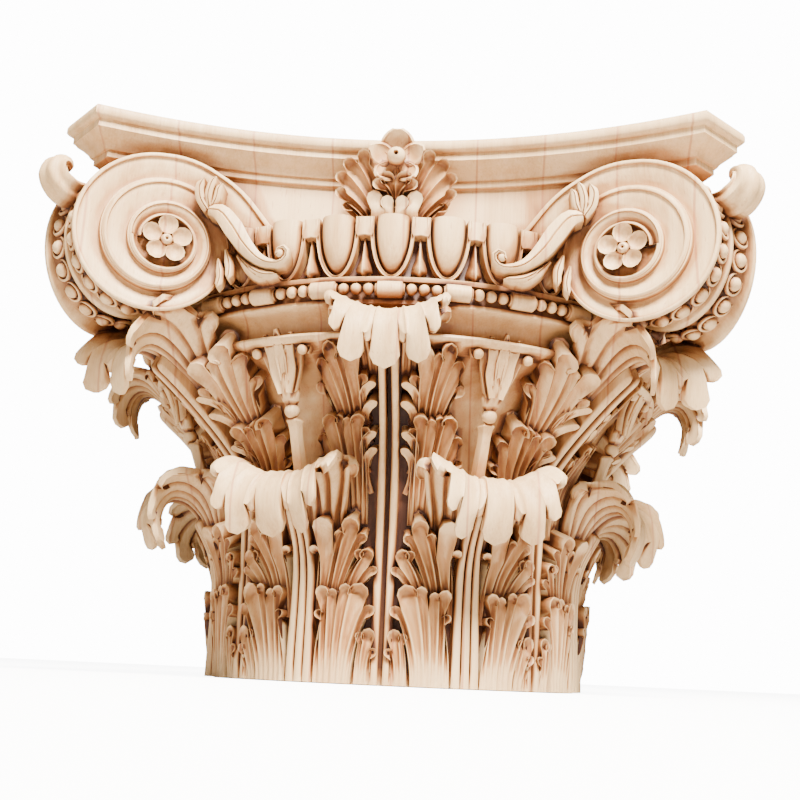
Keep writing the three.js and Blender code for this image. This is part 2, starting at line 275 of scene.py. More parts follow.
@dataclass(frozen=True)
class Tip:
    """One rounded lobe on the edge of a frond, placed by its outermost point.

    The gap is how far the notch before the next lobe is cut toward the foot.
    """

    across: float
    along: float
    head: float = 3.2
    lean: float = 0.0
    gap: float = 2.0
    hollow: float = 1.6
    lift: float = 0.0
    point: float = 0.15

    WRAP = math.radians(112)

    def way(self) -> tuple[float, float]:
        """Unit direction in which the lobe points."""
        lean = math.radians(self.lean)
        return math.sin(lean), math.cos(lean)

    def centre(self) -> tuple[float, float]:
        """Middle of the round head.

        Returns:
            Its places across and along, in millimetres.
        """
        way = self.way()
        reach = self.head * (1 + self.point)
        return self.across - way[0] * reach, self.along - way[1] * reach

    def rim(self, share: float) -> tuple[float, float]:
        """Point on the head's outline, from -1 on the inner side to 1.

        Args:
            share: Place round the outline, from -1 to 1.

        Returns:
            Its places across and along, in millimetres.
        """
        angle = share * self.WRAP
        way = self.way()
        reach = self.head * (1 + self.point * max(math.cos(angle), 0.0) ** 3)
        side, ahead = reach * math.sin(angle), reach * math.cos(angle)
        middle = self.centre()
        return (
            middle[0] + side * way[1] + ahead * way[0],
            middle[1] - side * way[0] + ahead * way[1],
        )

    def mirrored(self) -> "Tip":
        """The same lobe on the other side of the midrib."""
        return replace(self, across=-self.across, lean=-self.lean)


@dataclass(frozen=True)
class Frond:
    """A cluster of lobes that spreads in one sheet from a narrow foot."""

    root: tuple[float, float]
    spread: float
    tips: tuple[Tip, ...]
    rise: tuple[float, float] = (3.0, 8.0)
    crease: float = 1.5
    blade: float = 0.0
    lean: float = 0.0
    arch: Stations = ((0, 0), (1, 0))


@dataclass(frozen=True)
class LeafSheet:
    """The curved sheet that a leaf is drawn on, from its foot to its tip."""

    line: tuple[tuple[float, float], ...]
    sag: Stations
    ground: float = -4.0
    route: Route = field(init=False)

    def __post_init__(self) -> None:
        """Fit the sheet's middle line."""
        object.__setattr__(self, "route", Route(self.line))

    def point(self, across: float, along: float, out: float) -> Vector:
        """Point of the sheet.

        Args:
            across: Distance from the midrib.
            along: Distance from the foot along the middle line.
            out: Distance out from the sheet.

        Returns:
            The point, for a leaf at the front.
        """
        radius, z = self.route.at(along)
        way_r, way_z = self.route.heading(along)
        fall = look_up(self.sag, along) * (across / 32.0) ** 2
        lift = out - fall
        azimuth = across / radius
        return polar(radius + way_z * lift, azimuth, z - way_r * lift)


class LeafCarver:
    """Cuts lobes and ribs on one leaf sheet."""

    TOP = (-1.0, -0.93, -0.72, -0.36, 0.0, 0.36, 0.72, 0.93, 1.0)
    UNDER = (0.82, 0.0, -0.82)
    EDGE = 0.86
    EDGE_FALL = 0.7
    TIP_STEPS = 5
    SHARES = (-0.97, -0.68, -0.36, 0.0, 0.36, 0.68, 0.97)
    HEAD_STEPS = 5

    def __init__(self, sheet: LeafSheet, form: bmesh.types.BMesh) -> None:
        """Take the sheet and the mesh that grows on it."""
        self.sheet = sheet
        self.form = form

    def path(self, lobe: Lobe, share: float) -> tuple[float, float]:
        """Place of a lobe's centre line at a share of its length.

        Args:
            lobe: The lobe's sizes.
            share: Share of its length, from 0 to 1.

        Returns:
            Its places across and along, in millimetres.
        """
        reach = math.dist(lobe.root, lobe.tip)
        lean = math.radians(lobe.turn)
        lead = math.radians(lobe.start)
        first = (
            lobe.root[0] + 0.5 * reach * math.sin(lead),
            lobe.root[1] + 0.5 * reach * math.cos(lead),
        )
        second = (
            lobe.tip[0] - 0.32 * reach * math.sin(lean),
            lobe.tip[1] - 0.32 * reach * math.cos(lean),
        )
        a, b = (1 - share) ** 3, 3 * share * (1 - share) ** 2
        c, d = 3 * share**2 * (1 - share), share**3
        return (
            a * lobe.root[0] + b * first[0] + c * second[0] + d * lobe.tip[0],
            a * lobe.root[1] + b * first[1] + c * second[1] + d * lobe.tip[1],
        )

    def carve(self, lobe: Lobe, half: Half) -> None:
        """Cut one lobe.

        Args:
            lobe: The lobe's sizes.
            half: The side of the midrib that it lies on.
        """
        reach = math.dist(lobe.root, lobe.tip)
        turn_in = clamp(1 - (1 + 0.5 * lobe.pointed) * lobe.head / reach, 0.3, 0.97)
        body_steps = max(6, round(reach / 7))
        rows = []
        for step in range(body_steps + self.TIP_STEPS + 1):
            if step <= body_steps:
                rows.append((turn_in * step / body_steps, 0.0))
            else:
                part = math.sin(math.pi / 2 * (step - body_steps) / self.TIP_STEPS)
                rows.append((lerp(turn_in, 1.0, part), part))
        sections = [self.section(lobe, share, part, half) for share, part in rows]
        tube(self.form, sections)

    def section(self, lobe: Lobe, share: float, part: float, half: Half) -> list[Vector]:
        """Loop of points round a lobe at one station.

        Args:
            lobe: The lobe's sizes.
            share: Station along its length.
            part: How far the station lies into the rounded tip.
            half: The side of the midrib.

        Returns:
            The loop, over the top and back underneath.
        """
        step = 0.01
        low = self.path(lobe, max(share - step, 0.0))
        high = self.path(lobe, min(share + step, 1.0))
        middle = self.path(lobe, share)
        run = max(math.dist(low, high), 1e-6)
        side = ((high[1] - low[1]) / run, -(high[0] - low[0]) / run)
        power = 2 - 0.85 * lobe.pointed
        narrowing = (1 - part**power) ** (1 / (2 - 0.8 * lobe.pointed))
        width = lerp(lobe.stem, lobe.head, ease(share / 0.8)) * narrowing
        where, depth = lobe.waist
        width -= depth * math.exp(-(((share - where) / 0.05) ** 2))
        rise = lerp(lobe.rise[0], lobe.rise[1], ease(share * 1.1))
        rise += lobe.curl * clamp((share - 0.72) / 0.28) ** 2
        dish = lobe.hollow * lerp(0.45, 1.0, ease((share - 0.2) / 0.5))
        loop = []
        for place in self.TOP:
            spread = math.sqrt(min(1.0, place**2 * (1 - part**2) + part**2))
            height = rise - dish * (1 - spread**2.2)
            height -= self.EDGE_FALL * clamp((spread - self.EDGE) / (1 - self.EDGE)) ** 2
            loop.append((place * max(width, 0.0), height))
        for place in self.UNDER:
            if lobe.blade > 0:
                bulge = (1 - place**2) * (1 - part**2)
                height = rise - 0.35 * lobe.blade - 0.65 * lobe.blade * bulge
            else:
                height = self.sheet.ground
            loop.append((place * max(width, 0.0), height))
        return [
            self.sheet.point(
                half.value * (middle[0] + off * side[0]),
                middle[1] + off * side[1],
                height,
            )
            for off, height in loop
        ]

    def notches(self, frond: Frond) -> list[tuple[float, float]]:
        """Places of the notches before, between and after a frond's lobes.

        Args:
            frond: The frond's sizes.

        Returns:
            The notches, from left to right.
        """
        found = []
        tips = frond.tips
        for tip, hand in ((tips[0], -1), (tips[-1], 1)):
            middle, way = tip.centre(), tip.way()
            off, back = hand * 0.62 * tip.head, 1.5 * tip.head
            found.append(
                (
                    middle[0] + off * way[1] - back * way[0],
                    middle[1] - off * way[0] - back * way[1],
                )
            )
        between = []
        for tip, other in zip(tips, tips[1:]):
            one, two = tip.centre(), other.centre()
            share = tip.head / (tip.head + other.head)
            spot = (lerp(one[0], two[0], share), lerp(one[1], two[1], share))
            run = math.dist(spot, frond.root)
            pull = min(tip.gap / run, 0.8)
            between.append(
                (lerp(spot[0], frond.root[0], pull), lerp(spot[1], frond.root[1], pull))
            )
        return [found[0]] + between + [found[1]]

    def columns(self, frond: Frond) -> list[tuple[Tip, float, tuple, tuple]]:
        """Flow lines of a frond: lobe, place across it, neck and edge point.

        Args:
            frond: The frond's sizes.

        Returns:
            The flow lines, from left to right.
        """
        lines = []
        notches = self.notches(frond)
        for number, tip in enumerate(frond.tips):
            low, high = notches[number], notches[number + 1]
            way = tip.way()
            bulge = 0.3 * math.dist(low, high)
            if number == 0:
                lines.append((tip, -1.0, low, low))
            for share in self.SHARES:
                part = (share + 1) / 2
                crown = bulge * (1 - share * share)
                neck = (
                    lerp(low[0], high[0], part) + crown * way[0],
                    lerp(low[1], high[1], part) + crown * way[1],
                )
                lines.append((tip, share, neck, tip.rim(share / self.SHARES[-1])))
            lines.append((tip, 1.0, high, high))
        return lines

    def unfold(self, frond: Frond, half: Half) -> None:
        """Cut one frond.

        Args:
            frond: The frond's sizes.
            half: The side of the midrib that it lies on.
        """
        lines = self.columns(frond)
        farthest = max(math.dist(frond.root, neck) for _, _, neck, _ in lines)
        body_steps = max(7, round(farthest / 4.5))
        rows = [(step / body_steps, 0.0, 0) for step in range(body_steps + 1)]
        rows += [(1.0, (step + 1) / self.HEAD_STEPS, 0) for step in range(self.HEAD_STEPS)]
        rows += [(1.0, 1.0, 1), (1.0, 1.0, 2)]
        tube(self.form, [self.spread_row(frond, lines, half, *row) for row in rows])

    def spread_row(
        self,
        frond: Frond,
        lines: Sequence[tuple[Tip, float, tuple, tuple]],
        half: Half,
        body: float,
        head: float,
        lap: int,
    ) -> list[Vector]:
        """Loop of points across a frond and back underneath.

        Args:
            frond: The frond's sizes.
            lines: Its flow lines.
            half: The side of the midrib.
            body: Share of the way from the foot to the necks.
            head: Share of the way from the necks to the edge.
            lap: 0 on the face, 1 on the edge, 2 where face and back meet.

        Returns:
            The loop.
        """
        lead = math.radians(frond.lean)
        way = (math.sin(lead), math.cos(lead))
        face, back = [], []
        for number, (tip, share, neck, edge) in enumerate(lines):
            place = 2 * number / (len(lines) - 1) - 1
            foot = (
                frond.root[0] + frond.spread * place * way[1],
                frond.root[1] - frond.spread * place * way[0],
            )
            reach = 0.45 * math.dist(foot, neck)
            bend = (foot[0] + reach * way[0], foot[1] + reach * way[1])
            a, b, c = (1 - body) ** 2, 2 * body * (1 - body), body * body
            x = a * foot[0] + b * bend[0] + c * neck[0]
            y = a * foot[1] + b * bend[1] + c * neck[1]
            x, y = lerp(x, edge[0], head), lerp(y, edge[1], head)
            rise = self.frond_rise(frond, tip, share, body, head)
            rise += look_up(frond.arch, abs(place))
            middle = tip.centre()
            if frond.blade > 0:
                under = rise - frond.blade * (0.55 + 0.45 * (1 - share * share) * (1 - head))
                meet = (rise + under) / 2
                draw = 0.0
            else:
                under = meet = self.sheet.ground
                draw = 0.3 if abs(share) < 1 else 0.0
            spot = (lerp(x, middle[0], draw), lerp(y, middle[1], draw))
            if lap == 0:
                top = (x, y, rise)
                low = (x, y, under)
            elif lap == 1:
                top = (x, y, lerp(rise, meet, 0.5) if frond.blade > 0 else rise - 1.4)
                low = (*spot, under)
            else:
                top = low = (*spot, meet)
            face.append(top)
            back.append(low)
        return [
            self.sheet.point(half.value * x, y, out) for x, y, out in face + back[::-1]
        ]

    def frond_rise(
        self,
        frond: Frond,
        tip: Tip,
        share: float,
        body: float,
        head: float,
    ) -> float:
        """Height of a frond's face over the sheet, with flutes and hollows.

        Args:
            frond: The frond's sizes.
            tip: The lobe that the point lies on.
            share: Place across the lobe, from -1 to 1.
            body: Share of the way from the foot to the neck.
            head: Share of the way from the neck to the edge.

        Returns:
            The height in millimetres.
        """
        if abs(share) == 1:
            head = 0.0
        rise = lerp(frond.rise[0], frond.rise[1], ease(0.8 * body + 0.2 * head))
        rise += tip.lift * (0.35 * body**3 + 0.65 * head * head)
        fade = 0.35 + 0.65 * ease(body / 0.6)
        if frond.crease > 0:
            rise -= frond.crease * fade * abs(share) ** 2.6 * (1 - head)
            dish = ease((body - 0.75) / 0.25) * (0.3 + 0.7 * math.sin(math.pi * min(head, 0.5)))
        else:
            rise += frond.crease * fade * (1 - abs(share) ** 1.7) * (1 - head)
            dish = ease((body - 0.2) / 0.8) * (0.5 + 0.5 * math.sin(math.pi * min(head, 0.5)))
        rim = head**2.6
        rise -= tip.hollow * dish * (1 - rim) * (1 - abs(share) ** 3)
        return rise


@dataclass(frozen=True)
class Leaf:
    """One acanthus leaf: its sheet, one half's fronds, the ribs and the roll."""

    sheet: LeafSheet
    fronds: tuple[Frond, ...]
    leaflets: tuple[Lobe, ...]
    ribs: tuple[Lobe, ...]
    roll: Frond

    def shape(self) -> bmesh.types.BMesh:
        """Cut the whole leaf at the front of the capital.

        Returns:
            The form in millimetres.
        """
        form = bmesh.new()
        carver = LeafCarver(self.sheet, form)
        for rib in self.ribs:
            carver.carve(rib, Half.RIGHT)
            if rib.root[0] != 0:
                carver.carve(rib, Half.LEFT)
        for half in Half:
            for leaflet in self.leaflets:
                carver.carve(leaflet, half)
            for frond in self.fronds:
                carver.unfold(frond, half)
        carver.unfold(self.roll, Half.RIGHT)
        return form


def both_ways(middle: Tip, right: Sequence[Tip]) -> tuple[Tip, ...]:
    """Lobes of a roll from left to right, given its middle and right half.

    Args:
        middle: The lobe on the midrib.
        right: The lobes to its right, from the middle out.

    Returns:
        The lobes, from left to right.
    """
    whole = [middle, *right]
    left = []
    for tip, inner in zip(whole[1:], whole):
        left.append(replace(tip.mirrored(), gap=inner.gap))
    return (*reversed(left), *whole)


def lower_leaf() -> Leaf:
    """Leaf of the lower tier, whose roll hangs clear of the bell.

    Returns:
        The leaf.
    """
    sheet = LeafSheet(
        line=(
            (118, 0), (118, 22), (118, 45), (119, 66), (123, 80), (129, 91), (137, 103),
            (147, 111), (158, 112), (165, 105), (167.5, 94), (165, 83), (160, 74), (155, 66),
        ),
        sag=((0, 0), (70, 0), (95, 3), (115, 10), (180, 15)),
    )
    rib = {"stem": 2.5, "head": 2.2, "hollow": -2.4, "rise": (5.6, 5.0), "pointed": 0.0}
    ribs = (
        Lobe((0, 0.5), (0, 104), **rib),
        Lobe((5.4, 0.5), (4.0, 104), **rib),
    )
    fronds = (
        Frond((36.5, 0.5), 4.6, (
            Tip(34.2, 29, 2.4, -14, 3.0, 1.4),
            Tip(40.0, 31, 3.7, 8, 2.6, 3.4, 1.0),
            Tip(43.8, 20, 2.4, 40, 2.0, 1.6),
        ), (3.4, 7.4), -1.0),
        Frond((19.5, 0.5), 10.6, (
            Tip(10.6, 40, 2.3, -40, 2.6, 1.2, 0.6),
            Tip(12.6, 54, 3.5, -16, 2.4, 2.6, 1.0),
            Tip(19.2, 52.5, 2.9, 2, 9.5, 2.2, 0.4),
            Tip(26.4, 55.5, 3.1, 2, 2.4, 2.4, 0.6),
            Tip(35.2, 56.0, 5.4, 16, 2.6, 4.4, 1.6),
            Tip(42.0, 43.0, 3.2, 48, 2.0, 2.0, 0.4),
        ), (4.8, 9.4), -1.8),
        Frond((27, 44), 4.6, (
            Tip(33.4, 77.5, 2.6, -6, 3.0, 1.6),
            Tip(38.8, 78.0, 3.8, 14, 2.4, 3.2, 1.0),
            Tip(42.6, 66.0, 2.7, 46, 2.0, 1.6),
        ), (3.4, 8.2), -1.2),
        Frond((14.5, 36), 6.8, (
            Tip(6.4, 79, 2.6, -58, 10.0, 0.8, 0.6),
            Tip(15.4, 98.0, 5.6, -2, 15.0, 3.2),
            Tip(24.4, 90.0, 2.8, 0, 2.4, 2.0, 0.4),
            Tip(32.2, 97.5, 4.6, 8, 2.6, 4.2, 1.4),
            Tip(38.2, 87.0, 3.0, 40, 2.0, 2.0),
        ), (3.6, 8.6), -1.6),
    )
    roll = Frond((0, 74), 25, both_ways(
        Tip(0, 173, 9.2, 0, 13.0, -0.4, 1.4),
        (
            Tip(12.2, 157, 3.0, 2, 4.0, -0.4, 1.0),
            Tip(20.6, 169, 5.8, 4, 7.0, -0.6, 1.4),
            Tip(29.2, 155, 3.5, 10, 4.0, 0.2, 0.6),
            Tip(36.4, 140, 4.2, 28, 3.0, 1.0, 1.4),
            Tip(40.2, 122, 3.8, 56, 3.0, 2.0, 2.4),
        ),
    ), (1.6, 4.8), 3.6, 5.4, 0.0, ((0, -1.2), (0.22, 1.4), (0.5, 0.6), (1, 0)))
    return Leaf(sheet, fronds, (), ribs, roll)


def upper_leaflets(lift: float) -> tuple[Lobe, ...]:
    """Small hooked leaflets that curl in against the ribs."""
    return (
        Lobe((9.4, 108), (6.4, 136), -62, 1.5, 2.5, (4.0, 8.6), 1.4, 0.5, 1.0, start=24),
        Lobe((11.4, 120), (6.8, 147), -66, 1.5, 2.7, (4.6, 9.6), 1.4, 0.5, 1.0, start=24),
        Lobe((10.0, 138), (6.4, 168 + lift), -62, 1.5, 2.6, (4.0, 8.8), 1.4, 0.5, 1.0, start=24),
        Lobe((11.6, 150), (7.0, 181 + lift), -62, 1.5, 2.6, (4.0, 8.8), 1.4, 0.5, 1.0, start=24),
    )


def upper_fronds(lift: float) -> tuple[Frond, ...]:
    """Side clusters that both kinds of upper leaf share.

    Args:
        lift: How much further up its sheet the leaf carries its top cluster.

    Returns:
        The clusters of the right half, from the foot up.
    """
    return (
        Frond((21, 90), 9.6, (
            Tip(11.4, 150, 2.7, -34, 2.6, 1.8),
            Tip(16.4, 160, 4.1, -10, 2.4, 3.4, 1.0),
            Tip(23.2, 157, 2.9, 2, 9.5, 2.0),
            Tip(28.4, 158.5, 2.9, 2, 2.4, 2.0),
            Tip(35.0, 159, 4.7, 18, 2.4, 4.0, 1.4),
            Tip(40.4, 145, 3.2, 46, 2.4, 2.2),
            Tip(40.2, 130, 2.7, 62, 2.0, 1.8),
        ), (4.4, 9.6), -1.8),
        Frond((21, 134), 8.0, (
            Tip(12.6, 186 + lift, 3.1, -30, 5.0, 2.2, 0.6),
            Tip(20.0, 203 + lift, 4.9, -2, 11.0, 3.6, 1.0),
            Tip(28.0, 198 + lift, 3.3, 4, 2.4, 2.4),
            Tip(35.2, 204 + lift, 4.9, 14, 2.4, 4.2, 1.4),
            Tip(41.8, 192 + lift, 4.0, 40, 2.4, 3.2, 1.0),
            Tip(42.8, 176 + lift, 3.2, 58, 2.0, 2.2),
        ), (3.6, 8.4), -1.7),
    )


def upper_ribs(top: float) -> tuple[Lobe, ...]:
    """The twin ribs that run from the foot to under the roll."""
    return (Lobe((3.6, 0.5), (3.4, top), 0, 2.4, 2.1, (4.4, 8.4), -2.4, 0.0),)


def middle_leaf() -> Leaf:
    """Upper leaf in the middle of a side, whose roll hangs over the astragal.

    Returns:
        The leaf.
    """
    sheet = LeafSheet(
        line=(
            (118, 0), (118, 40), (118.5, 84), (120, 108), (124, 130), (134, 150), (149, 167),
            (162, 178.5), (174, 190), (184, 196.4), (193, 195), (198.4, 186), (199.4, 174),
            (196.4, 162), (192, 152),
        ),
        sag=((0, 0), (120, 0), (170, 3), (215, 9), (240, 14), (290, 16)),
    )
    roll = Frond((0, 182), 20, both_ways(
        Tip(0, 267, 8.4, 0, 12.0, -0.4, 1.4, 0.12),
        (
            Tip(9.8, 252, 2.6, 0, 3.0, -0.4, 0.6, 0.2),
            Tip(17.8, 263, 6.6, 2, 8.0, -0.4, 1.4, 0.15),
            Tip(26.2, 248, 3.2, 14, 3.0, 0.2, 0.8, 0.3),
            Tip(31.8, 234, 3.4, 32, 3.0, 1.0, 1.4),
            Tip(34.6, 220, 3.2, 58, 3.0, 1.6, 2.4),
        ),
    ), (1.6, 4.4), 3.2, 5.0, 0.0, ((0, 0.4), (0.25, 0.8), (0.5, 0.4), (1, 0)))
    return Leaf(sheet, upper_fronds(0.0), upper_leaflets(0.0), upper_ribs(204), roll)


def corner_leaf() -> Leaf:
    """Upper leaf under a corner, whose roll reaches out below the volute.

    Returns:
        The leaf.
    """
    sheet = LeafSheet(
        line=(
            (118, 0), (118, 40), (118.5, 84), (120, 106), (126, 126), (140, 143), (158, 159),
            (178, 174), (195, 184), (208, 186), (217.5, 179), (221, 168), (220, 156),
            (215, 145), (209, 136),
        ),
        sag=((0, 0), (110, 0), (150, 8), (205, 14), (235, 20), (300, 26)),
    )
    roll = Frond((0, 188), 26, both_ways(
        Tip(0, 270, 8.8, 0, 13.0, -0.4, 1.4),
        (
            Tip(11.6, 254, 3.0, 2, 4.0, -0.4, 1.0),
            Tip(19.8, 265, 5.6, 4, 7.0, -0.4, 1.4),
            Tip(28.2, 251, 3.5, 12, 4.0, 0.2, 0.6),
            Tip(35.2, 237, 4.2, 30, 3.0, 1.0, 1.4),
            Tip(39.6, 219, 3.8, 56, 3.0, 2.0, 2.4),
        ),
    ), (1.6, 4.8), 3.6, 5.6, 0.0, ((0, -1.2), (0.22, 1.4), (0.5, 0.6), (1, 0)))
    return Leaf(sheet, upper_fronds(4.0), upper_leaflets(4.0), upper_ribs(218), roll)


# ------------------------------------------------------ abacus, bell, echinus


@dataclass(frozen=True)
class Abacus:
    """The moulded slab with hollow sides and, below it, the plain frieze."""

    side_middle: float = 159.0
    side_curve: float = 394.0
    steps: int = 28

    LEVELS = (
        (3.4, 257.6, 315.0),
        (0.8, 260.2, 314.2),
        (0.0, 261.0, 312.4),
        (0.0, 261.0, 309.0),
        (1.2, 259.8, 307.6),
        (3.6, 257.4, 307.2),
        (3.6, 257.4, 302.6),
        (4.6, 256.4, 302.2),
        (6.0, 255.0, 300.2),
        (9.0, 252.0, 298.2),
        (11.6, 249.4, 295.8),
        (12.8, 248.2, 293.8),
        (14.4, 246.6, 293.6),
        (14.4, 246.6, 289.8),
        (15.6, 245.4, 289.2),
        (17.0, 222.0, 289.0),
        (17.0, 222.0, 268.0),
        (17.0, 222.0, 248.0),
    )

    def outline(self, inset: float, corner: float, z: float) -> list[Vector]:
        """Plan of the abacus drawn in by an inset, with its corners cut.

        Args:
            inset: How far the hollow sides are set back.
            corner: Distance of the corner cut from the axis.
            z: Level of the outline.

        Returns:
            The loop of points, counter-clockwise from the front.
        """
        centre = -(self.side_middle + self.side_curve)
        radius = self.side_curve + inset
        shift = corner * math.sqrt(2) + centre
        corner_x = (shift + math.sqrt(2 * radius * radius - shift * shift)) / 2
        reach = math.asin(min(corner_x, radius) / radius)
        loop = []
        for turn in range(SIDES):
            spin = Matrix.Rotation(turn * math.pi / 2, 3, "Z")
            for step in range(self.steps + 1):
                angle = lerp(-reach, reach, step / self.steps)
                side = Vector((radius * math.sin(angle), centre + radius * math.cos(angle), z))
                loop.append(spin @ side)
        return loop

    def shape(self) -> bmesh.types.BMesh:
        """Cut the slab.

        Returns:
            The form in millimetres.
        """
        form = bmesh.new()
        tube(form, [self.outline(*level) for level in self.LEVELS])
        return form


def turned(stations: Sequence[tuple[float, float]], steps: int) -> bmesh.types.BMesh:
    """Spin a profile about the axis.

    Args:
        stations: (radius, z) places that start and end on the axis.
        steps: Steps in the full turn.

    Returns:
        The closed form.
    """
    form = bmesh.new()
    points = [form.verts.new((radius, 0, z)) for radius, z in stations]
    edges = [form.edges.new(pair) for pair in zip(points, points[1:])]
    bmesh.ops.spin(
        form,
        geom=points + edges,
        cent=(0, 0, 0),
        axis=(0, 0, 1),
        angle=TURN,
        steps=steps,
        use_merge=True,
        use_normal_flip=False,
        use_duplicate=False,
    )
    bmesh.ops.remove_doubles(form, verts=form.verts, dist=MERGE)
    return form


@dataclass(frozen=True)
class Bell:
    """The plain bell that the leaves stand on, up to its rounded lip."""

    steps: int = 128

    def shape(self) -> bmesh.types.BMesh:
        """Spin the bell.

        Returns:
            The form in millimetres.
        """
        flare = catmull(
            [(118, 0), (118, 40), (118.5, 80), (120.5, 108), (123.5, 130), (129, 149),
             (139, 166), (153, 178.5), (162, 183.4), (168.6, 186)],
            4,
        )
        lip = [(171.2, 187.4), (172, 188.8), (171.6, 190.2), (170, 190.9), (0, 190.9)]
        return turned([(0, 0)] + [(float(r), float(z)) for r, z in flare] + lip, self.steps)


@dataclass(frozen=True)
class Echinus:
    """The round mouldings between the bell's lip and the abacus."""

    steps: int = 144

    def shape(self) -> bmesh.types.BMesh:
        """Spin the scotia, the fillets, the astragal's bed and the frieze bed.

        Returns:
            The form in millimetres.
        """
        stations = [
            (0, 188), (166, 188.4), (164.6, 191), (163.4, 194.6), (164.0, 198), (166.6, 201),
            (171, 203.2), (176, 204), (178.2, 204.2), (178.2, 206.4), (176.4, 206.8),
            (176.0, 209.5), (176.0, 214), (176.4, 216.2), (180.2, 216.6), (180.4, 219.2),
            (178.6, 219.8), (174.6, 220.2), (173.6, 224), (173.8, 236), (175.6, 250),
            (176.4, 254), (150, 254.4), (0, 254.4),
        ]
        return turned(stations, self.steps)


@dataclass(frozen=True)
class BeadRow:
    """Eight-sided reels with three beads between each pair, round the astragal."""

    radius: float = 180.0
    z: float = 211.6
    pitch: float = math.radians(12)
    reel_half: float = 8.3
    reel: float = 5.0
    bead: float = 3.35
    each_way: int = 3

    def add_reel(self, form: bmesh.types.BMesh, azimuth: float) -> None:
        """Add one reel: an eight-sided bar with a chamfer and a collar at each end.

        Args:
            form: The mesh that it joins.
            azimuth: Where it stands round the axis, in radians.
        """
        ends = ((-1, 0.5), (-0.97, 0.72), (-0.9, 0.76), (-0.88, 0.7), (-0.8, 1.0), (0, 1.02),
                (0.8, 1.0), (0.88, 0.7), (0.9, 0.76), (0.97, 0.72), (1, 0.5))
        sections = []
        for share, size in ends:
            angle = azimuth + share * self.reel_half / self.radius
            loop = []
            for k in range(16):
                turn = TURN * (k + 0.5) / 16
                flat = 1 / max(abs(math.cos((turn % (TURN / 8)) - TURN / 16)), 0.9)
                reach = self.reel * size * 0.95 * flat
                loop.append(
                    polar(
                        self.radius + reach * math.cos(turn),
                        angle,
                        self.z + reach * math.sin(turn),
                    )
                )
            sections.append(loop)
        tube(form, sections)

    def shape(self) -> bmesh.types.BMesh:
        """Cut the whole row, side by side.

        Returns:
            The form in millimetres.
        """
        form = bmesh.new()
        gap = self.pitch - 2 * self.reel_half / self.radius
        for side in range(SIDES):
            for number in range(-self.each_way, self.each_way + 1):
                azimuth = side * math.pi / 2 + number * self.pitch
                self.add_reel(form, azimuth)
                for bead in (-1, 0, 1):
                    place = azimuth + self.pitch / 2 + bead * gap / 3
                    ball(form, polar(self.radius + 0.6, place, self.z), self.bead, 14)
        return form


